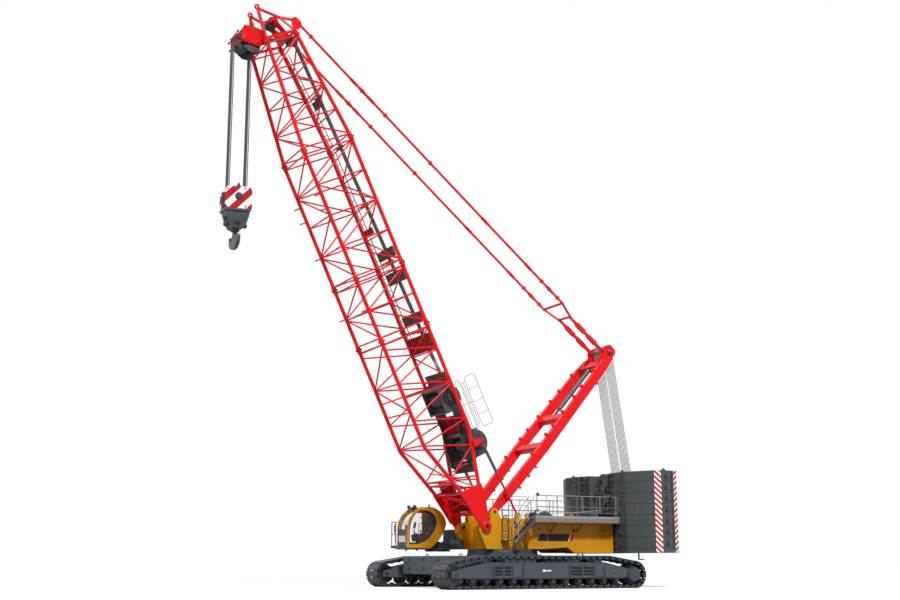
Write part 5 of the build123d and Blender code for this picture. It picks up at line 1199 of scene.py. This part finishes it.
# ---------------------------------------------------------------- hook block
def hook_block_looks():
    """Striped cheek plates with cut corners, and the dark body that holds the hook."""
    shaft = middle("hook_sheaves")

    def at(x, y, z):
        return shaft + Vector((x, y, z))

    plates = Piece("block_cheeks", "hook_block", "block_stripe")
    bolts = Piece("block_bolts", "hook_block", "winch_dark")
    body = Piece("block_body", "hook_block", "winch_dark")
    for side in (1, -1):
        plates.plate([(-0.60, 0.28), (-0.52, 0.48), (0.10, 0.44), (0.52, 0.40), (0.60, 0.28), (0.60, -0.42),
                      (0.44, -0.56), (-0.60, -0.52)], side * 0.385, side * 0.045, at)
        body.plate([(-0.54, 0.40), (-0.1, 0.44), (0.0, 0.66), (0.12, 0.42), (0.54, 0.30), (0.54, -0.6),
                    (-0.54, -0.6)], side * 0.335, side * 0.045, at)
        body.cap(at(0, side * 0.43, 0), (0, side * 0.03, 0), 0.17, 0.7, 0.14, 32)
        for x, z in ((-0.44, 0.36), (-0.28, 0.38), (0.30, 0.31), (0.50, 0.30), (-0.44, 0.05), (0.46, -0.03),
                     (-0.3, -0.44), (0.0, -0.40), (0.28, -0.48)):
            bolts.hexagon(at(x, side * 0.43, z), (0, side, 0), 0.034, 0.02)
    body.plate([(-0.56, -0.52), (0.56, -0.52), (0.50, -0.78), (0.34, -1.22), (0.20, -1.40), (-0.24, -1.40),
                (-0.40, -1.18), (-0.52, -0.78)], -0.36, 0.72, at)
    body.plate([(-0.60, -0.50), (0.60, -0.54), (0.58, -0.66), (-0.56, -0.62)], -0.42, 0.84, at)
    for z in (-0.95, -1.2):
        for side in (1, -1):
            body.cap(at(side * 0.30, 0, z), (side * 0.22, 0, 0), 0.10, 0.85, 0.07, 18)
    body.spool(at(0, -0.50, -1.12), at(0, 0.50, -1.12), [(0, 0.08), (0.04, 0.11)])
    body.turned(at(0, 0, -1.52), at(0, 0, -1.38), [(0, 0.15), (0.2, 0.19), (1, 0.19)], 24)
    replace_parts(plates.done(0.006), "hook_block")
    bolts.done(0)
    body.done(0.012)


# ---------------------------------------------------------------- cab
ROOF_LINE = [(2.80, 1.76), (2.47, 1.94), (2.20, 2.19), (2.04, 2.52), (2.00, 2.86), (2.05, 3.11),
             (2.18, 3.31), (2.42, 3.47), (2.66, 3.57), (2.85, 3.62), (3.30, 3.60)]


def cab_inside():
    """Dark lining, consoles, levers, screen and pedals of the cab, and the seat's frame."""
    lining = Piece("cab_lining", "cab", "seat_fabric", "cab_trim")
    centre = Vector((2.95, 0, 2.65))

    def inset(by):
        line = [Vector((x, 0, z)) for x, z in ROOF_LINE]
        return [(p.x, p.z) for p in (v + (centre - v).normalized() * by for v in line)]

    outer, inner = inset(0.062), inset(0.10)
    for corners in zip(outer, outer[1:], inner[1:], inner):
        lining.plate(corners, -2.80, 0.95)
    lining.done()
    consoles = Piece("cab_consoles", "cab", "seat_fabric", "cab_trim")
    for y in (-2.71, -1.97):
        consoles.plate([(2.72, 2.06), (3.28, 2.06), (3.34, 2.34), (3.18, 2.42), (2.76, 2.38)], y - 0.07, 0.14)
        consoles.plate([(2.88, 1.82), (3.14, 1.82), (3.10, 2.06), (2.92, 2.06)], y - 0.05, 0.10)
        consoles.tube([(3.20, y, 2.40), (3.22, y, 2.52), (3.20, y, 2.58)], [0.016, 0.013, 0.028], 10)
    consoles.plate([(2.74, 1.82), (3.14, 1.82), (3.06, 2.16), (2.80, 2.16)], -2.58, 0.48)
    consoles.plate([(3.50, 2.66), (3.54, 2.66), (3.50, 2.92), (3.46, 2.92)], -2.10, 0.20)
    consoles.tube([(3.45, -2.0, 2.30), (3.52, -2.0, 2.5), (3.50, -2.0, 2.68)], 0.018, 8)
    for y in (-2.45, -2.25):
        consoles.plate([(3.42, 1.83), (3.62, 1.95), (3.64, 1.93), (3.44, 1.81)], y - 0.05, 0.10)
    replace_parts(consoles.done(0.012), "cab_seat")
    red = Piece("cab_console_trim", "cab", "boom_red")
    for y in (-2.635, -1.895):
        red.tube([(2.78, y, 2.42), (3.16, y, 2.45), (3.30, y, 2.36), (3.26, y, 2.20)], 0.018, 8)
    red.done()
    bars = Piece("cab_seat_frame", "cab", "seat_fabric", "cab_trim")
    for y in (-2.60, -2.08):
        corners = [(x, y, z) for x, z in ((2.62, 2.50), (3.04, 2.52), (2.98, 2.90), (2.60, 2.88))]
        bars.tube(round_frame(corners, 0.06, 3), 0.016, 6, closed=True)
    bars.done()


def cushion(name, low, high, crown, tilt=0.0, pivot=None):
    """A stuffed pad: a rounded box whose faces swell and whose seams pull in."""
    made = bmesh.new()
    bmesh.ops.create_cube(made, size=2.0)
    bmesh.ops.subdivide_edges(made, edges=made.edges, cuts=11, use_grid_fill=True)
    low, high = Vector(low), Vector(high)
    half, mid = (high - low) / 2, (high + low) / 2
    thin, *others = sorted(range(3), key=lambda k: half[k])
    for vert in made.verts:
        p = vert.co
        ball = p.normalized() * 1.15
        q = Vector([math.copysign(abs(c) ** 0.9, c) for c in p]).lerp(ball, 0.22)
        seam = 1 - 0.35 * math.exp(-((abs(p.y) - 0.55) / 0.06) ** 2)
        swell = (1 - p[others[0]] ** 2) * (1 - p[others[1]] ** 2)
        q[thin] *= (0.72 + crown * swell) * seam
        vert.co = Vector((q.x * half.x, q.y * half.y, q.z * half.z)) + mid
    if tilt:
        pivot = Vector(pivot)
        turn = (Matrix.Translation(pivot) @ Matrix.Rotation(math.radians(tilt), 4, "Y")
                @ Matrix.Translation(-pivot))
        bmesh.ops.transform(made, matrix=turn, verts=made.verts)
    mesh = bpy.data.meshes.new(name)
    made.to_mesh(mesh)
    made.free()
    mesh.shade_smooth()
    mesh.materials.append(MATS["seat_fabric"])
    obj = bpy.data.objects.new(name, mesh)
    bpy.context.scene.collection.objects.link(obj)
    soften = obj.modifiers.new("soften", "SUBSURF")
    soften.levels = soften.render_levels = 1
    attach(obj, "cab")


def cab_seat():
    cushion("cab_seat_cushion", (2.60, -2.60, 2.17), (3.13, -2.08, 2.33), 0.28)
    cushion("cab_seat_back", (2.44, -2.58, 2.28), (2.60, -2.10, 2.94), 0.28, -5, (2.52, -2.34, 2.28))
    cushion("cab_headrest", (2.40, -2.46, 2.96), (2.52, -2.22, 3.14), 0.25, -5, (2.52, -2.34, 2.28))


def cab_outside():
    """Lamps, beacon, ribs, seals, rails, mirrors and feet of the cab, and the unit beside it."""
    lamps = Piece("cab_roof_lamps", "cab", "winch_dark")
    for y in (-2.65, -2.00):
        lamps.turned((3.44, y, 3.64), (3.56, y, 3.62), [(0, 0.05), (0.3, 0.085), (0.9, 0.09), (1, 0.08)], 18)
        lamps.rod((3.40, y, 3.55), (3.46, y, 3.64), 0.014)
    lamps.plate([(3.30, 3.58), (3.62, 3.50), (3.64, 3.58), (3.36, 3.66)], -2.45, 0.30)
    lamps.tube([(3.60, -2.3, 3.56), (3.74, -2.3, 3.36), (3.92, -2.3, 3.0)], 0.012, 6)
    lamps.tube([(3.80, -2.45, 3.30), (3.95, -2.3, 2.95), (4.0, -2.2, 2.72)], 0.010, 6)
    lamps.done(0.004)
    beacon = Piece("cab_beacon", "cab", "boom_red", "beacon")
    beacon.turned((2.80, -1.95, 3.60), (2.80, -1.95, 3.76),
                  [(0, 0.06), (0.2, 0.06), (0.2, 0.05), (0.8, 0.047), (1, 0.02)], 18)
    beacon.done()
    ribs = Piece("cab_side_ribs", "cab", "body_amber")
    for i, top in enumerate((2.13, 2.12, 2.09, 2.03, 1.96, 1.92, 1.90)):
        x = 2.52 + 0.16 * i
        outline = rect(x - 0.018, x + 0.018, max(1.78, 1.78 + (2.80 - x) * 0.7), top)
        ribs.plate(outline, -1.75, 0.014)
        if i == 0:
            ribs.plate(outline, -2.90, -0.014)
    ribs.done(0.003)
    seal = Piece("cab_window_seals", "cab", "seat_fabric", "cab_trim")
    window = [(3.88, 1.95), (3.45, 1.95), (3.10, 2.08), (2.85, 2.27), (2.62, 2.56), (2.50, 2.90),
              (2.54, 3.11), (2.66, 3.28), (2.84, 3.39), (3.05, 3.46), (3.33, 3.46), (3.52, 3.36),
              (3.68, 3.20), (3.80, 2.95), (3.86, 2.78), (3.88, 2.60)]
    for y in (-1.80, -1.745):
        seal.tube([(x, y, z) for x, z in window], 0.016, 6, closed=True)
    seal.done()
    rails = Piece("cab_front_rails", "cab", "galvanised")
    for y in (-2.86, -1.80):
        rails.tube([(4.02, y, 1.80), (4.06, y, 2.2), (4.06, y, 2.86), (4.02, y, 2.95), (3.84, y, 3.02)],
                   0.014, 8)
    for z in (2.32, 2.92):
        rails.rod((4.055, -2.86, z), (4.055, -1.80, z), 0.013)
    rails.done()
    mirror = Piece("cab_mirrors", "cab", "winch_dark")
    for y, arm in ((-2.95, 0.12), (-1.72, -0.12)):
        mirror.sheet([(4.06, y + wide, z) for wide, z in
                      ((-0.08, 2.46), (0.08, 2.46), (0.09, 2.80), (-0.09, 2.80))], (0.035, 0, 0))
        mirror.rod((4.06, y, 2.40), (4.06, y + arm, 2.40), 0.012)
    mirror.done(0.012)
    under = Piece("cab_under_deck", "cab", "frame_dark")
    under.plate([(2.72, 1.70), (4.10, 1.70), (4.10, 1.78), (2.72, 1.755)], -2.86, 1.08)
    for x in (2.95, 3.4, 3.95):
        under.cap((x, -1.95, 1.63), (0, 0, 0.08), 0.05, 0.5, 0.07, 14)
    under.done(0.006)
    blank = Piece("cab_front_plate", "cab", "galvanised", "plate_white")
    blank.sheet([(3.985, -2.70, 2.02), (3.985, -2.70, 2.30), (3.985, -1.92, 2.30), (3.985, -1.92, 2.02)],
                (0.012, 0, 0))
    blank.done(0.003)
    unit = Piece("front_valve_unit", "superstructure", "frame_dark")
    unit.plate([(1.86, 1.74), (2.06, 1.74), (2.12, 1.84), (2.12, 2.02), (1.98, 2.10), (1.86, 2.10)],
               -1.15, 0.9)
    for i in range(5):
        y = -1.08 + 0.18 * i
        unit.cap((1.98, y, 2.08), (0, 0, 0.08), 0.06, 0.6, 0.035, 12)
        unit.cap((2.11, y, 1.92), (0.06, 0, 0), 0.055, 0.7, 0.03, 12)
    unit.done(0.008)


# ---------------------------------------------------------------- everything
for build in (tracks, sprockets, track_frame_panels, car_body_fittings, house_fittings, engine_side,
              roof_fittings, deck_fittings, walkway_fittings, ballast_fittings, carrier_fittings,
              boom_foot_braces, section_joints, boom_walkways, rail_frames, chord_tabs, winch_housings,
              head_fittings, backstop_fittings, mast_fittings, pendant_fittings, hook_block_looks,
              cab_inside, cab_seat, cab_outside, hoist_falls, luffing_ropes, rope_coils, lead_ropes):
    build()


# ---------------------------------------------------------------- stage
FLOOR_REACH = 260.0


def add_node(tree, kind, operation=None, *inputs):
    """New shader node; inputs are outputs to link, None or plain numbers, in the sockets' order."""
    node = tree.nodes.new("ShaderNode" + kind)
    if operation:
        node.operation = operation
    for value, socket in zip(inputs, node.inputs):
        if isinstance(value, bpy.types.NodeSocket):
            tree.links.new(value, socket)
        elif value is not None:
            socket.default_value = value
    return node


def make_stage():
    """Pale floor, lit a little more to the camera than to the object."""
    mesh = bpy.data.meshes.new("studio_floor")
    mesh.from_pydata([(x, y, 0) for x, y in rect(-FLOOR_REACH, FLOOR_REACH, -FLOOR_REACH, FLOOR_REACH)],
                     [], [(0, 1, 2, 3)])
    floor = bpy.data.objects.new("studio_floor", mesh)
    bpy.context.scene.collection.objects.link(floor)
    mat = bpy.data.materials.new("studio_floor")
    mat.use_nodes = True
    tree = mat.node_tree
    tree.nodes.clear()
    diffuse = add_node(tree, "BsdfDiffuse", None, (0.55, 0.55, 0.55, 1))
    seen = add_node(tree, "LightPath").outputs["Is Camera Ray"]
    glow = add_node(tree, "Emission", None, None, add_node(tree, "Math", "MULTIPLY", seen, 0.52).outputs[0])
    add_node(tree, "OutputMaterial", None,
             add_node(tree, "AddShader", None, diffuse.outputs[0], glow.outputs[0]).outputs[0])
    mesh.materials.append(mat)


def make_world(light):
    """White behind the object and in its reflections, a plain softer level as light."""
    world = bpy.data.worlds.new("studio")
    bpy.context.scene.world = world
    world.use_nodes = True
    tree = world.node_tree
    ground = tree.nodes["Background"]
    ground.inputs["Color"].default_value = (1, 1, 1, 1)
    path = add_node(tree, "LightPath")
    seen = path.outputs["Is Camera Ray"]
    for ray in ("Is Glossy Ray", "Is Transmission Ray"):
        seen = add_node(tree, "Math", "MAXIMUM", seen, path.outputs[ray]).outputs[0]
    level = add_node(tree, "MapRange", None, seen, None, None, light, 1.0)
    tree.links.new(level.outputs["Result"], ground.inputs["Strength"])


def sun(name, direction, strength, spread):
    data = bpy.data.lights.new(name, "SUN")
    data.energy = strength
    data.angle = math.radians(spread)
    lamp = bpy.data.objects.new(name, data)
    lamp.rotation_euler = Vector(direction).to_track_quat("-Z", "Y").to_euler()
    bpy.context.scene.collection.objects.link(lamp)


def make_camera():
    """Camera solved from the photo's perspective."""
    yaw, pitch = math.radians(-116.51), math.radians(11.86)
    data = bpy.data.cameras.new("camera")
    data.sensor_width = 36.0
    data.lens = 49.86
    data.clip_end = 600.0
    camera = bpy.data.objects.new("camera", data)
    camera.location = (28.12, 51.00, 1.136)
    camera.rotation_euler = (math.pi / 2 + pitch, 0, yaw - math.pi / 2)
    bpy.context.scene.collection.objects.link(camera)
    bpy.context.scene.camera = camera


make_stage()
make_world(0.34)
sun("key", (-0.20, -0.66, -0.72), 2.9, 8)
sun("fill", (-0.75, 0.1, -0.6), 0.5, 40)
make_camera()
bpy.context.scene.view_settings.view_transform = "Standard"
